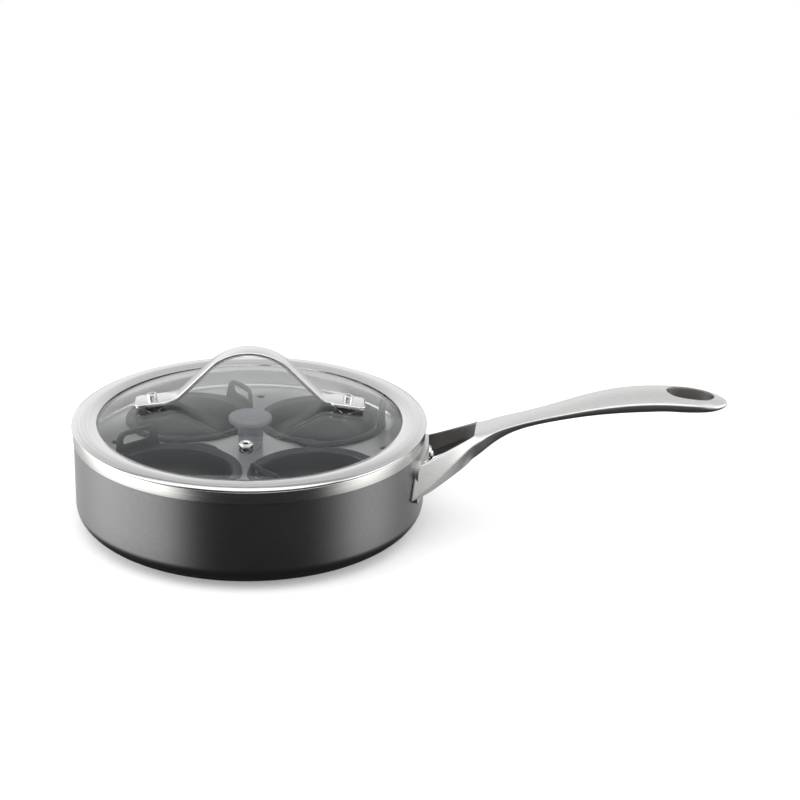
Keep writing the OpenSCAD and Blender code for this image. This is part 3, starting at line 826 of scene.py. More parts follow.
def ringTree():
    tree = bpy.data.node_groups.new("copiesOnRing", "GeometryNodeTree")
    for name, kind in (("Part", "Object"), ("Count", "Int"), ("Reach", "Float"), ("Height", "Float"),
                       ("Tilt", "Float"), ("First turn", "Float"), ("Step turn", "Float"),
                       ("Finish", "Material")):
        tree.interface.new_socket(name, in_out="INPUT", socket_type="NodeSocket" + kind)
    tree.interface.new_socket("Geometry", in_out="OUTPUT", socket_type="NodeSocketGeometry")
    given = addNode(tree, "NodeGroupInput").outputs
    index = addNode(tree, "GeometryNodeInputIndex").outputs["Index"]
    turn = addNode(tree, "ShaderNodeMath", {"operation": "MULTIPLY_ADD"},
                   {0: index, 1: given["Step turn"], 2: given["First turn"]}).outputs["Value"]
    across = []
    for kind in ("COSINE", "SINE"):
        part = addNode(tree, "ShaderNodeMath", {"operation": kind}, {0: turn}).outputs["Value"]
        across.append(addNode(tree, "ShaderNodeMath", {"operation": "MULTIPLY"},
                              {0: part, 1: given["Reach"]}).outputs["Value"])
    place = addNode(tree, "ShaderNodeCombineXYZ", inputs={
        "X": across[0], "Y": across[1], "Z": given["Height"]}).outputs["Vector"]
    spots = addNode(tree, "GeometryNodePoints", inputs={"Count": given["Count"], "Position": place})
    facing = addNode(tree, "ShaderNodeCombineXYZ", inputs={"Y": given["Tilt"], "Z": turn}).outputs["Vector"]
    swung = addNode(tree, "FunctionNodeEulerToRotation", inputs={"Euler": facing}).outputs["Rotation"]
    part = addNode(tree, "GeometryNodeObjectInfo", inputs={"Object": given["Part"]}).outputs["Geometry"]
    copies = addNode(tree, "GeometryNodeInstanceOnPoints", inputs={
        "Points": spots.outputs["Points"], "Instance": part, "Rotation": swung})
    solid = addNode(tree, "GeometryNodeRealizeInstances", inputs={"Geometry": copies.outputs["Instances"]})
    finished = addNode(tree, "GeometryNodeSetMaterial", inputs={
        "Geometry": solid.outputs["Geometry"], "Material": given["Finish"]})
    addNode(tree, "NodeGroupOutput", inputs={"Geometry": finished.outputs["Geometry"]})
    return tree


copiesOnRing = ringTree()


def onRing(name, part, finish, count, reach, height, tilt, first, step):
    mesh = bpy.data.meshes.new(name)
    piece = bpy.data.objects.new(name, mesh)
    scene.collection.objects.link(piece)
    ring = piece.modifiers.new("ring", "NODES")
    ring.node_group = copiesOnRing
    values = {"Part": part, "Count": count, "Reach": reach * mm, "Height": height * mm,
              "Tilt": math.radians(tilt), "First turn": math.radians(first),
              "Step turn": math.radians(step), "Finish": finish}
    for socket in copiesOnRing.interface.items_tree:
        if socket.in_out == "INPUT":
            ring[socket.identifier] = values[socket.name]
    applied(piece)
    piece.data.shade_smooth()
    piece.data.set_sharp_from_angle(angle=math.radians(35))
    bpy.data.objects.remove(part)
    return piece


rivet = {"head": 4.6, "rise": 2.9, "step": 0.9, "stepIn": 0.5, "innerRise": 0.9, "shank": 2.5,
         "places": ((42, 10), (31.5, 0))}  # height, and distance to each side


def makeRivets(v):
    # shank along +Z from inside the pan, stepped and domed head outside on the plate
    seat = plate["thick"] + pan["wall"]
    domeRadius, domeRise = v["head"] - v["stepIn"], v["rise"] - v["step"]
    turns = [math.radians(t) for t in range(9, 90, 9)]
    dome = [Vector((domeRadius * math.cos(t), seat + v["step"] + domeRise * math.sin(t))) for t in turns]
    profile = [Vector((0, -v["innerRise"])), *roundCorners([
        (v["head"] - 1, -v["innerRise"]), (v["head"], -v["innerRise"], 0.4), (v["head"], 0)], 4),
        Vector((v["shank"], 0)), *roundCorners([
            (v["shank"], seat), (v["head"], seat), (v["head"], seat + v["step"], 0.4),
            (domeRadius, seat + v["step"])], 4), *dome,
        Vector((0, seat + v["rise"]))]
    rows = []
    for z, side in v["places"]:
        turn = math.degrees(math.asin(side / pan["wallRadius"]))
        part = addPiece("rivetPart", *lathe(profile, 48), [plated])
        rows.append(onRing("rivetRow", part, plated, 2 if side else 1, pan["wallRadius"] - pan["wall"], z,
                           90, -turn, 2 * turn))
    rows[0].name = "handleRivets"
    return joinInto(*rows)


handleRivets = makeRivets(rivet)
print("rivets set")


# Tray: dished sheet with holes for the cups and the steam

trayBox = [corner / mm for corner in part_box("tray_plate")]
tray = {
    "top": trayBox[0].z + 1,
    "sheet": 1,
    "turn": 5.5,
    "wallRadius": 95.9,
    "bend": 3,
    "flangeBend": 1.2,
    "flangeTop": trayBox[1].z,
    "flangeRadius": trayBox[1].x,
    "cupStep": 39.4,
    "cupHole": 34.3,
    "steamHole": 2.8,
    "steamRing": 77.5,
    "knobHole": 2.4,
}


def circle(centre, radius, steps):
    return arcPoints(centre, radius, 0, 360 * (steps - 1) / steps, steps - 1)


def makeTray(v):
    swing = Matrix.Rotation(math.radians(v["turn"]), 4, "Z")
    cups = [Vector((x * v["cupStep"], y * v["cupStep"])) for x in (-1, 1) for y in (-1, 1)]
    steam = [Vector((v["steamRing"] * math.cos(t), v["steamRing"] * math.sin(t)))
             for t in (0, math.pi / 2, math.pi, math.pi * 1.5)]
    holes = [(c, v["cupHole"], 96) for c in cups] + [(c, v["steamHole"], 40) for c in steam]
    holes.append((Vector((0, 0)), v["knobHole"], 40))
    edge = v["wallRadius"] - v["bend"]
    loops = [circle((0, 0), edge, 256)] + [circle(c, r, n) for c, r, n in holes]

    def keep(p):
        return p.length < edge and all((p - c).length > r for c, r, n in holes)
    fill = [p for r in range(8, int(edge), 6) for p in circle((0, 0), r, 12 + r)
            if all((p - c).length > hole + 2 for c, hole, n in holes)]
    half = v["sheet"] / 2
    middle = v["top"] - half
    flat = plateWithHoles(loops, fill, keep, lambda p, side: (p.x, p.y, middle + (half if side else -half)))
    flange = v["flangeTop"] - half
    bend = v["flangeBend"]
    path = (arcPoints((edge, middle + v["bend"]), v["bend"], -90, 0, 12)
            + arcPoints((v["wallRadius"] + bend, flange - bend), bend, 180, 90, 8)
            + [Vector((v["flangeRadius"] - 0.1, flange))])
    wall = lathe(sheetOutline(path, v["sheet"]), 256, closed=False)
    end = lathe(sheetOutline(path, v["sheet"])[len(path) - 1:len(path) + 1], 256, closed=False)
    points, faces = joined(flat, wall, end)
    # the flat plate's outer wall would stand inside the sheet where it meets the bend
    inner = {i for i, p in enumerate(points) if abs(math.hypot(p[0], p[1]) - edge) < 1e-3}
    faces = [f for f in faces if not (len(f) == 4 and all(i in inner for i in f))]
    piece = addPiece("trayPlate", moved(points, swing), faces, [pressed])
    dropLoose(piece)
    return piece


trayPlate = makeTray(tray)
print("tray pressed")


knob = {
    "height": 17.5,
    "cap": 12.4,
    "capThick": 3.2,
    "stemLow": 6.9,
    "stemHigh": 7.7,
    "flare": 1.4,
    "ringInset": 2.2,
    "ringDepth": 0.3,
    "bore": 3.6,
    "boreDepth": 11,
}


def makeKnob(v):
    capLow = v["height"] - v["capThick"]
    ring = v["cap"] - v["ringInset"]
    profile = [*roundCorners([
        (v["bore"], 0), (v["stemLow"], 0, 0.4), (v["stemHigh"], capLow - v["flare"], 1.5),
        (v["stemHigh"] + v["flare"], capLow, 0.8), (v["cap"], capLow, 0.9), (v["cap"], v["height"], 1.2),
        (ring, v["height"], 0.15), (ring - 0.3, v["height"] - v["ringDepth"], 0.15),
        (ring - 4, v["height"] - v["ringDepth"])], 5),
        Vector((0, v["height"] - v["ringDepth"])), Vector((0, v["boreDepth"])),
        Vector((v["bore"], v["boreDepth"]))]
    points, faces = lathe(profile, 96)
    return addPiece("trayKnob", moved(points, Matrix.Translation((0, 0, tray["top"]))), faces, [phenolic])


trayKnob = makeKnob(knob)


# Egg cups, each with a grip tab turned its own way

cup = {
    "rim": 38,
    "depth": 21.2,
    "sheet": 1.4,
    "bowl": 16,
    "lean": 10,
    "lip": 5.1,
    "lipSlope": 9,
    "tabWidth": 27,
    "tabHeight": 13.2,
    "tabThick": 1.6,
    "tabCorner": 4.5,
    "slotWidth": 19,
    "slotHeight": 5,
    "slotRise": 8.4,
    "lipBend": 1.2,
    "rollBend": 0.8,
    "tabLow": 1.0,
    "tabFoot": 2.5,
    # piece, body, side of the tray and the tab's turn
    "names": (("cupBackLeft", "cup_back_left", -1, 1, 35.5), ("cupBackRight", "cup_back_right", 1, 1, -2),
              ("cupFrontLeft", "cup_front_left", -1, -1, 133),
              ("cupFrontRight", "cup_front_right", 1, -1, -138)),
}


def makeTab(v):
    # a flat outline with a long hole, rolled round the cup's rim
    half, low, foot = v["tabWidth"] / 2, v["tabLow"], v["tabFoot"]
    outline = roundCorners([(0, low), (half + foot, low, 0.3), (half, low + foot, foot),
                            (half, v["tabHeight"], v["tabCorner"]), (0, v["tabHeight"])], 8)
    outline = outline[:-1] + [Vector((-p.x, p.y)) for p in outline[:0:-1]]
    run = (v["slotWidth"] - v["slotHeight"]) / 2
    radius = v["slotHeight"] / 2
    slot = (arcPoints((run, v["slotRise"]), radius, -90, 90, 12)
            + arcPoints((-run, v["slotRise"]), radius, 90, 270, 12))
    fill = [(u * 1.5, z) for u in range(-8, 9) for z in (3.5, 12.3) if abs(u * 1.5) < half - 3]

    def keep(p):
        across = max(0, abs(p.x) - run)
        return math.hypot(across, p.y - v["slotRise"]) > radius

    def rolled(p, side):
        reach = v["rim"] - 0.15 - (0 if side else v["tabThick"])
        turn = p.x / (v["rim"] - v["tabThick"] / 2)
        return (reach * math.cos(turn), reach * math.sin(turn), p.y)
    # columns keep the roll smooth
    columns = [(u, z) for u in range(-14, 15, 2) for z in (2, 4.5) if abs(u) < half]
    points, faces = plateWithHoles([outline, slot], fill + columns, keep, rolled)
    return softenEdges(addPiece("tabPart", points, faces, [coated]), 0.45, 2, 55)


def makeCup(v, name, signX, signY, tabTurn):
    floor = -v["depth"] + v["sheet"] / 2
    bowlPath = arcPoints((v["bowl"], floor + v["bowl"]), v["bowl"], -90, -v["lean"], 18)
    bend, rollBend = v["lipBend"], v["rollBend"]
    lipPath = arcPoints((v["rim"] - v["lip"] + bend, -0.25), bend, 180 - v["lean"], 90 + v["lipSlope"], 6)
    edge = v["rim"] - v["sheet"] / 2
    roll = arcPoints((edge - rollBend, 0.55), rollBend, 90 + v["lipSlope"], 0, 8)
    path = [Vector((0, floor)), Vector((8, floor)), *bowlPath, *lipPath, *roll, Vector((edge, 0.4))]
    body = addPiece(name, *lathe(sheetOutline(path, v["sheet"]), 128), [coated])
    tab = makeTab(v)
    tab.data.transform(Matrix.Rotation(math.radians(tabTurn), 4, "Z"))
    joinInto(body, tab)
    swing = Matrix.Rotation(math.radians(tray["turn"]), 4, "Z")
    place = Matrix.Translation(Vector((signX * tray["cupStep"], signY * tray["cupStep"], tray["top"])) * mm)
    body.data.transform(swing @ place)
    body.data.set_sharp_from_angle(angle=math.radians(35))
    return body


cups = [(makeCup(cup, name, x, y, turn), body) for name, body, x, y, turn in cup["names"]]
print("cups pressed")


# Lid

glassBox = [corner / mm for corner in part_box("lid_glass")]
lid = {
    "turn": 8,
    "domeRadius": 420,
    "domeTop": glassBox[1].z,
    "shoulder": 62,
    "flatTop": 60.4,
    "thick": 4,
    "window": 88,
    "edge": glassBox[1].x,
    "rimRadius": 102,
    "sheet": 0.6,
    "crown": ((0, 0), (2.6, 0.85), (5.6, 1.4), (8.6, 1.36), (11.2, 0.9)),
    "fold": 0.37,
    "skirt": 94.5,
    "legBend": 0.6,
    "legLength": 3.6,
    "screwReach": 55.5,
    "screwBore": 2.6,
    "ventReach": 59.5,
    "ventBore": 2.4,
}
lid["domeCentre"] = lid["domeTop"] - lid["domeRadius"]
lid["flatLow"] = lid["flatTop"] - lid["thick"]


def onLid(reach, turn):
    spin = math.radians(lid["turn"] + turn)
    return Vector((reach * math.cos(spin), reach * math.sin(spin)))


def domeHeight(v, r, depth):
    # a nearly flat middle, and a faster curve between the shoulder and the window's edge
    slope = math.asin(v["shoulder"] / v["domeRadius"])
    shoulderZ = v["domeCentre"] + v["domeRadius"] * math.cos(slope)
    run = v["window"] - v["shoulder"]
    edgeSlope = 2 * math.atan((shoulderZ - v["flatTop"]) / run) - slope
    arc = run / (math.sin(edgeSlope) - math.sin(slope))
    arcCentre = (v["shoulder"] - arc * math.sin(slope), shoulderZ - arc * math.cos(slope))
    if r < v["shoulder"] - depth * math.sin(slope):
        return v["domeCentre"] + math.sqrt((v["domeRadius"] - depth) ** 2 - r ** 2)
    last = v["window"] - depth * math.sin(edgeSlope)
    if r < last:
        return arcCentre[1] + math.sqrt((arc - depth) ** 2 - (r - arcCentre[0]) ** 2)
    lastZ = arcCentre[1] + (arc - depth) * math.cos(edgeSlope)
    level = v["flatTop"] - depth
    return level + (lastZ - level) * max(0, (v["window"] - r) / max(v["window"] - last, 1e-6))


def makeGlass(v):
    bores = [(onLid(v["screwReach"], 0), v["screwBore"]), (onLid(v["screwReach"], 180), v["screwBore"]),
             (onLid(v["ventReach"], -90), v["ventBore"])]
    rings = [*range(4, 60, 4), *range(60, 86, 2), 86.4, v["window"] - 0.3, v["window"] + 0.3, 91]
    loops = [circle((0, 0), v["edge"], 192)] + [circle(c, r, 40) for c, r in bores]
    spots = [p for r in rings for p in circle((0, 0), r, 192 if r > 60 else 96 if r > 20 else 32)]
    fill = [(0.0, 0.0)] + [p for p in spots if all((p - c).length > bore + 1 for c, bore in bores)]

    def keep(p):
        return all((p - c).length > r for c, r in bores)

    def domed(p, side):
        return (p.x, p.y, domeHeight(v, p.length, 0 if side else v["thick"]))
    points, faces = plateWithHoles(loops, fill, keep, domed)
    return addPiece("lidGlass", points, faces, [glass])


def makeRim(v):
    legZ = v["flatLow"] - v["sheet"] / 2 - 0.05
    topZ = v["flatTop"] + 0.1 + v["sheet"] / 2
    edge = v["rimRadius"] - v["sheet"] / 2
    under = pan["height"] + 0.2 + v["sheet"] / 2
    fold = v["fold"]
    top = curveThrough([Vector((v["window"] + r, topZ + z)) for r, z in v["crown"]], 5)
    bend = v["legBend"]
    path = (top + arcPoints((edge - fold, under + fold), fold, 65, -90, 10)
            + arcPoints((v["skirt"] + bend, under - bend), bend, 90, 180, 5)
            + arcPoints((v["skirt"] - bend, legZ + bend), bend, 0, -90, 5)
            + [Vector((v["skirt"] - v["legLength"], legZ))])
    return addPiece("lidRim", *lathe(sheetOutline(path, v["sheet"]), 256), [rolled], 50)


lidGlass = makeGlass(lid)
lidRim = makeRim(lid)
print("lid made")


bail = {
    "top": 103.3,
    "width": 12.5,
    "footWidth": 16.5,
    "footCorner": 3.5,
    "flare": (3.1, 7),
    "thick": 2.2,
    "archRadius": 32,
    "footBend": 9,
    "footLift": 1.4,
    "footEnd": 66,
    "edge": 0.6,
    "endSoft": ((0.0, 0.7), (0.3, 0.25), (0.8, 0.0)),
    "bore": 2.1,
}


def bailPath(v):
    footAngle = math.asin(lid["screwReach"] / lid["domeRadius"])
    base = lid["domeCentre"] + (lid["domeRadius"] + v["footLift"] + v["thick"] / 2) / math.cos(footAngle)
    fall = math.tan(footAngle)
    archZ = v["top"] - v["thick"] / 2 - v["archRadius"]
    legTop = v["archRadius"] * math.sqrt(0.5)
    legSum = legTop * 2 + archZ
    knee = (legSum - base) / (1 - fall)
    half = (arcPoints((0, archZ), v["archRadius"], 90, 45, 16)
            + roundCorners([(legTop, archZ + legTop), (knee, legSum - knee, v["footBend"]),
                            (v["footEnd"], base - v["footEnd"] * fall)], 10)[1:-1])
    first, last = (knee + f for f in v["flare"])
    along = [first + (last - first) * k / 5 for k in range(6)]
    along += [v["footEnd"] - v["footCorner"] * (1 - math.sin(math.radians(t)))
              for t in (0, 20, 40, 60, 75, 90)]
    half += [Vector((x, base - x * fall)) for x in along]
    return [Vector((-p.x, p.y)) for p in half[:0:-1]] + half, first, last


def bailHalfWidth(v, x, first, last):
    # strap, wider feet, rounded corners at their ends
    half = (v["width"] + (v["footWidth"] - v["width"]) * softStep((x - first) / (last - first))) / 2
    past = max(0, x - (v["footEnd"] - v["footCorner"]))
    return half - v["footCorner"] + math.sqrt(max(0, v["footCorner"] ** 2 - past ** 2))


def makeBail(v):
    path, flareFirst, flareLast = bailPath(v)
    section = roundCorners([(0, v["thick"] / 2), (v["width"] / 2, v["thick"] / 2, v["edge"]),
                            (v["width"] / 2, -v["thick"] / 2, v["edge"]), (0, -v["thick"] / 2)], 4)
    section = section + [Vector((-p.x, p.y)) for p in section[-2:0:-1]]
    first, last = path[0], path[-1]
    inward = (path[1] - first).normalized()
    outward = (path[-2] - last).normalized()
    # centre, direction and how far the section shrinks there
    stops = ([(first + inward * e, inward, i) for e, i in v["endSoft"]]
             + [(p, (b - a).normalized(), 0) for a, p, b in zip(path, path[1:], path[2:])]
             + [(last + outward * e, -outward, i) for e, i in v["endSoft"][::-1]])
    points, faces = [], []
    for centre, along, narrow in stops:
        up = Vector((-along.y, along.x))
        squeeze = 1 - narrow / (v["thick"] / 2) * 0.6
        more = bailHalfWidth(v, abs(centre.x), flareFirst, flareLast) - v["width"] / 2 - narrow
        for s in section:
            spot = centre + up * s.y * squeeze
            across = s.x + math.copysign(more, s.x) if abs(s.x) > 1e-6 else 0.0
            points.append((spot.x, across, spot.y))
    n = len(section)
    for j in range(len(stops) - 1):
        for k in range(n):
            faces.append([j * n + k, j * n + (k + 1) % n, (j + 1) * n + (k + 1) % n, (j + 1) * n + k])
    faces += [list(range(n)), list(range((len(stops) - 1) * n, len(stops) * n))]
    piece = addPiece("lidBail", points, faces, [strap], 30)
    tilt = math.asin(lid["screwReach"] / lid["domeRadius"])
    cutHalf = 10
    bores = []
    for side in (-1, 1):
        bore = lathe([Vector((0, -cutHalf)), Vector((v["bore"], -cutHalf)),
                      Vector((v["bore"], cutHalf)), Vector((0, cutHalf))], 40)
        place = (Matrix.Translation((0, 0, lid["domeCentre"])) @ Matrix.Rotation(side * tilt, 4, "Y")
                 @ Matrix.Translation((0, 0, lid["domeRadius"] + 2)))
        bores.append((moved(bore[0], place), bore[1]))
    cutBy(piece, addPiece("boreCutter", *joined(*bores), []))
    piece.data.transform(Matrix.Rotation(math.radians(lid["turn"]), 4, "Z"))
    piece.data.shade_smooth()
    piece.data.set_sharp_from_angle(angle=math.radians(30))
    return piece


lidBail = makeBail(bail)
print("bail bent")


# Fastenings of the lid, all square to the dome

stack = {
    "gasket": 0.8,
    "nut": 3.2,
    "nutRadius": 2.9,
    "socket": 1.8,
    "socketDepth": 1.5,
    "screw": 2.0,
    "head": 4.2,
    "headHeight": 2.2,
    "headDome": 1.2,
    "washer": 6.8,
    "ringBore": 2.2,
    "gasketUpper": 5.8,
    "gasketLower": 5.2,
}


def hexRadius(across):
    # turns a ring into a hexagon of that corner radius
    def shape(r, z, turn):
        apothem = across * math.cos(math.radians(30))
        fold = (turn + math.radians(30)) % math.radians(60) - math.radians(30)
        return apothem / math.cos(fold)
    return shape


def atFeet(name, profile, finish, shape=None, turns=48):
    part = addPiece("footPart", *lathe(profile, turns, True, shape), [finish])
    tilt = math.asin(lid["screwReach"] / lid["domeRadius"])
    height = lid["domeCentre"] + lid["domeRadius"] * math.cos(tilt)
    return onRing(name, part, finish, 2, lid["screwReach"], height, math.degrees(tilt), lid["turn"], 180)


def washerProfile(outer, bore, low, high, soft=0.15):
    return roundCorners([(bore, low), (outer, low, soft), (outer, high, soft), (bore, high)], 3)


def nutProfile(v):
    low = bail["footLift"] + bail["thick"]
    top = low + v["nut"]
    screwTop = low + 1.2
    return [*roundCorners([(v["screw"], low), (v["nutRadius"], low, 0.2), (v["nutRadius"], top, 0.6),
                           (v["socket"] + 0.35, top)], 4),
            Vector((v["socket"] + 0.1, top - 0.15)), Vector((v["socket"], top - v["socketDepth"])),
            Vector((0, top - v["socketDepth"] - 0.2)), Vector((0, screwTop)), Vector((v["screw"], screwTop))]


def socketShape(v):
    hexagon = hexRadius(v["socket"] * 1.12)

    def shape(r, z, turn):
        return hexagon(r, z, turn) if r < v["socket"] + 0.15 else r
    return shape


def screwProfile(v):
    low = -lid["thick"] - v["gasket"] - v["headHeight"]
    top = bail["footLift"] + bail["thick"] + 1
    turns = [math.radians(t) for t in range(10, 91, 10)]
    dome = [Vector((v["head"] * math.sin(t), low + v["headDome"] * (1 - math.cos(t)))) for t in turns]
    return [Vector((0, low)), *dome, Vector((v["head"], low + v["headHeight"])),
            Vector((v["screw"], low + v["headHeight"])), Vector((v["screw"], top)), Vector((0, top))]


bailNuts = atFeet("bailNuts", nutProfile(stack), plated, socketShape(stack), 72)
bailScrews = atFeet("bailScrews", screwProfile(stack), plated)
bailWashers = atFeet("bailWashers", washerProfile(
    stack["washer"], stack["ringBore"], stack["gasket"], bail["footLift"], 0.25), plated)
gasketsUpper = atFeet("bailGasketsUpper", washerProfile(
    stack["gasketUpper"], stack["ringBore"], 0.02, stack["gasket"]), silicone)
gasketsLower = atFeet("bailGasketsLower", washerProfile(
    stack["gasketLower"], stack["ringBore"], -lid["thick"] - stack["gasket"], -lid["thick"] - 0.05), silicone)

vent = {
    "flange": 3.9,
    "flangeLow": 0.5,
    "flangeTop": 1.8,
    "cap": 3.1,
    "top": 2.4,
    "tube": 2.2,
    "bore": 1.4,
    "lowFlange": 3.5,
    "lowThick": 0.6,
    "gasketRadius": 3.8,
}


def makeVent(v):
    low = -lid["thick"] - v["flangeLow"] - v["lowThick"]
    profile = [
        *roundCorners([(v["bore"], low), (v["lowFlange"], low, 0.3),
                       (v["lowFlange"], low + v["lowThick"], 0.2), (v["tube"], low + v["lowThick"])], 3),
        Vector((v["tube"], v["flangeLow"])),
        *roundCorners([(v["tube"] + 0.3, v["flangeLow"]), (v["flange"], v["flangeLow"], 0.15),
                       (v["flange"], v["flangeTop"], 0.25), (v["cap"], v["flangeTop"])], 3),
        *roundCorners([(v["cap"], v["flangeTop"] + 0.05), (v["cap"], v["top"], 0.5),
                       (v["bore"] + 0.5, v["top"], 0.3), (v["bore"], v["top"] - 0.5)], 5)]
    hexagon = hexRadius(v["flange"])

    def shape(r, z, turn):
        return hexagon(r, z, turn) * r / v["flange"] if r > v["cap"] + 0.1 and z > 0 else r
    part = addPiece("ventPart", *lathe(profile, 96, True, shape), [plated])
    return atVent("ventEyelet", part, plated)


def atVent(name, part, finish):
    tilt = math.asin(lid["ventReach"] / lid["domeRadius"])
    height = lid["domeCentre"] + lid["domeRadius"] * math.cos(tilt)
    return onRing(name, part, finish, 1, lid["ventReach"], height, math.degrees(tilt), lid["turn"] - 90, 0)


ventEyelet = makeVent(vent)
ventLayers = ((0.02, vent["flangeLow"]), (-lid["thick"] - 0.5, -lid["thick"] - 0.05))
ventRings = joined(*(lathe(washerProfile(vent["gasketRadius"], vent["tube"] + 0.05, low, high, 0.1), 48)
                     for low, high in ventLayers))
ventGaskets = atVent("ventGaskets", addPiece("ventRingPart", *ventRings, [silicone]), silicone)
print("fastenings set")


# Which body each piece moves with, the solids it stands for and the finish it takes

standing = [
    (panShell, "pan", "anodised_aluminium", ("pan_shell",)),
    (panHandle, "pan", "cast_steel", ("handle",)),
    (handleRivets, "pan", "rivet_steel", ("handle_rivets",)),
    (trayPlate, "tray", "tray_steel", ("tray_plate",)),
    (trayKnob, "tray", "moulded_phenolic", ("tray_knob",)),
    (lidGlass, "lid", "toughened_glass", ("lid_glass",)),
    (lidRim, "lid", "rim_steel", ("lid_rim",)),
    (lidBail, "lid", "bail_steel", ("lid_bail",)),
    (bailNuts, "lid", "fastener_steel", ("bail_nuts",)),
    (bailScrews, "lid", "fastener_steel", ("bail_screws",)),
    (bailWashers, "lid", "fastener_steel", ("bail_washers",)),
    (gasketsUpper, "lid", "silicone", ("bail_gaskets_upper",)),
    (gasketsLower, "lid", "silicone", ("bail_gaskets_lower",)),
    (ventEyelet, "lid", "fastener_steel", ("vent_eyelet",)),
    (ventGaskets, "lid", "silicone", ("vent_gaskets",)),
]
standing += [(piece, body, "coated_cup", ("egg_" + body,)) for piece, body in cups]
for piece, body, finishSlot, nodes in standing:
    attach(piece, body)
    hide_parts(*nodes)

# Solids whose shape is already right keep it, with a better finish
for node, finish in (("knob_insert", brass), ("knob_washer", plated), ("knob_screw", plated)):
    frame["nodes"][node].data.materials[0] = finish
print("pieces ride on their bodies")


# Studio: white sweep, a ceiling softbox and two side banks, with a dark card low in front
studio = {
    "floorHalf": 4.0,
    "floorColour": "#e6e6e6",
    "floorGlow": 0.25,
    "whiteFrom": (0.30, 0.75),
    "white": 1.0,
    "dark": 0.03,
    "back": 0.58,
    "sides": 1.25,
    "leftMore": 0.2,
    "ceiling": 0.25,
    "cardEdges": ((-37, 0.2), (72, 0.28)),
    "backFade": (0.0, 0.6),
    "ringLow": (-0.62, -0.36),
    "ringHigh": (0.3, 0.65),
    "lamps": (
        ("ceilingSoftbox", (0.0, -0.6, 1.6), (0, -0.4, 0.05), (3.2, 2.4), 36),
        ("leftBank", (-1.5, -0.15, 0.50), (0, 0, 0.05), (1.6, 1.2), 13),
        ("rightBank", (1.7, 0.10, 0.50), (0.1, 0, 0.05), (1.6, 1.1), 9),
        ("frontBank", (1.0, -1.8, 0.75), (0, 0, 0.1), (2.6, 1.5), 9),
    ),
    "backBank": ("backBank", (0.0, 1.6, 1.05), (0, 0, 0.15), (4.0, 2.1), 12),
}


def smoothRange(tree, value, span, low=0.0, high=1.0):
    return addNode(tree, "ShaderNodeMapRange", {"interpolation_type": "SMOOTHSTEP"}, {
        "Value": value, "From Min": span[0], "From Max": span[1],
        "To Min": low, "To Max": high}).outputs["Result"]


def straightThrough(tree, path):
    # a ray that has come through glass and met nothing shiny before
    unbent = addNode(tree, "ShaderNodeMath", {"operation": "LESS_THAN"}, {0: path["Glossy Depth"], 1: 0.5})
    return addNode(tree, "ShaderNodeMath", {"operation": "MULTIPLY"}, {
        0: path["Is Transmission Ray"], 1: unbent.outputs["Value"]}).outputs["Value"]


def makeFloor(v):
    half = v["floorHalf"] / mm
    corners = [(-half, -half, 0), (half, -half, 0), (half, half, 0), (-half, half, 0)]
    floor = addPiece("studioFloor", corners, [[0, 1, 2, 3]], [], close=False)
    finish, tree, shader = newFinish("whiteSweep", v["floorColour"], {"Roughness": 0.9})
    tree.nodes.remove(shader)
    lit = addNode(tree, "ShaderNodeBsdfDiffuse", inputs={"Color": colour(v["floorColour"])})
    glow = addNode(tree, "ShaderNodeEmission", inputs={"Strength": v["floorGlow"]})
    shaded = addNode(tree, "ShaderNodeAddShader", inputs={
        0: lit.outputs["BSDF"], 1: glow.outputs["Emission"]})
    where = addNode(tree, "ShaderNodeTexCoord").outputs["Object"]
    reach = addNode(tree, "ShaderNodeVectorMath", {"operation": "LENGTH"}, {0: where}).outputs["Value"]
    white = addNode(tree, "ShaderNodeEmission", inputs={"Strength": v["white"]})
    farOff = smoothRange(tree, reach, v["whiteFrom"])
    seen = addNode(tree, "ShaderNodeMixShader", inputs={
        0: farOff, 1: shaded.outputs["Shader"], 2: white.outputs["Emission"]})
    # metal looks past the floor, to the banks and the dark card round the table
    path = addNode(tree, "ShaderNodeLightPath").outputs
    past = addNode(tree, "ShaderNodeBsdfTransparent")
    inMetal = addNode(tree, "ShaderNodeMixShader", inputs={
        0: path["Is Glossy Ray"], 1: lit.outputs["BSDF"], 2: past.outputs["BSDF"]})
    through = addNode(tree, "ShaderNodeMixShader", inputs={
        0: straightThrough(tree, path), 1: inMetal.outputs["Shader"], 2: white.outputs["Emission"]})
    whole = addNode(tree, "ShaderNodeMixShader", inputs={
        0: path["Is Camera Ray"], 1: through.outputs["Shader"], 2: seen.outputs["Shader"]})
    tree.links.new(whole.outputs["Shader"], tree.nodes["Material Output"].inputs["Surface"])
    floor.data.materials.append(finish)


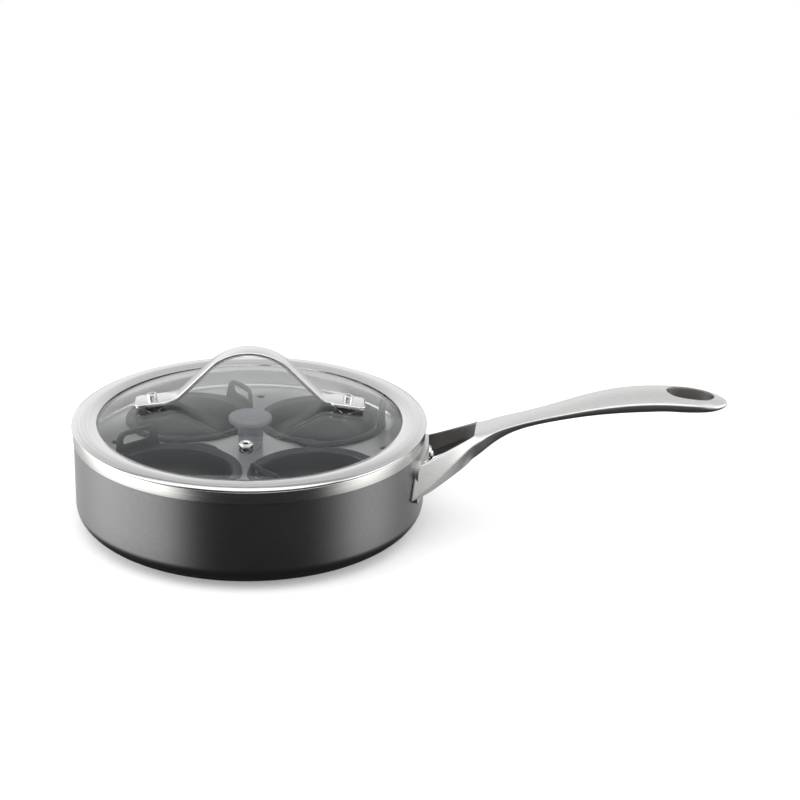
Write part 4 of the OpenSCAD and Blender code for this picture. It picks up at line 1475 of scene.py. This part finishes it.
def makeWorld(v):
    world = bpy.data.worlds.new("studioWorld")
    world.use_nodes = True
    scene.world = world
    tree = world.node_tree
    sky = tree.nodes["Background"]
    way = addNode(tree, "ShaderNodeTexCoord").outputs["Generated"]
    parts = addNode(tree, "ShaderNodeSeparateXYZ", inputs={"Vector": way}).outputs

    def reckon(operation, first, second, third=0.0):
        return addNode(tree, "ShaderNodeMath", {"operation": operation},
                       {0: first, 1: second, 2: third}).outputs["Value"]
    # outside both edges of the dark card, which stands low in front
    outside = []
    for side, (turn, soft) in zip((-1, 1), v["cardEdges"]):
        edge = math.radians(turn)
        past = addNode(tree, "ShaderNodeVectorMath", {"operation": "DOT_PRODUCT"}, {
            0: way, 1: (side * math.cos(edge), side * math.sin(edge), 0)}).outputs["Value"]
        outside.append(smoothRange(tree, past, (-soft, soft)))
    clear = reckon("MAXIMUM", *outside)
    ring = reckon("MULTIPLY", smoothRange(tree, parts["Z"], v["ringLow"]),
                 smoothRange(tree, parts["Z"], v["ringHigh"], 1, 0))
    beside = smoothRange(tree, parts["Y"], v["backFade"], v["sides"], 0)
    level = reckon("ADD", reckon("MULTIPLY_ADD", parts["X"], -v["leftMore"], v["back"]), beside)
    level = reckon("MULTIPLY_ADD", reckon("MULTIPLY", clear, ring), level, v["dark"])
    level = reckon("ADD", level, smoothRange(tree, parts["Z"], v["ringHigh"], 0, v["ceiling"]))
    path = addNode(tree, "ShaderNodeLightPath").outputs
    direct = reckon("MAXIMUM", path["Is Camera Ray"], straightThrough(tree, path))
    strength = addNode(tree, "ShaderNodeMix", {"data_type": "FLOAT"}, {
        0: direct, 2: level, 3: v["white"]}).outputs[0]
    tree.links.new(strength, sky.inputs["Strength"])
    sky.inputs["Color"].default_value = (1, 1, 1, 1)


def addLamp(name, place, target, size, power):
    data = bpy.data.lights.new(name, "AREA")
    data.shape = "RECTANGLE"
    data.size, data.size_y = size
    data.energy = power
    lamp = bpy.data.objects.new(name, data)
    lamp.location = place
    lamp.rotation_euler = (Vector(target) - Vector(place)).to_track_quat("-Z", "Y").to_euler()
    lamp.visible_camera = False
    scene.collection.objects.link(lamp)
    return lamp


def keepOff(lamp, piece):
    # the lamp lights everything but this piece
    spared = bpy.data.collections.new(lamp.name + "Spares")
    spared.objects.link(piece)
    lamp.light_linking.receiver_collection = spared
    spared.collection_objects[0].light_linking.link_state = "EXCLUDE"


makeFloor(studio)
makeWorld(studio)
for lamp in studio["lamps"]:
    addLamp(*lamp)
# as with a polarising filter: the glass shows less of the bank behind than the metals do
keepOff(addLamp(*studio["backBank"]), lidGlass)
scene.view_settings.view_transform = "Standard"
print("studio lit")
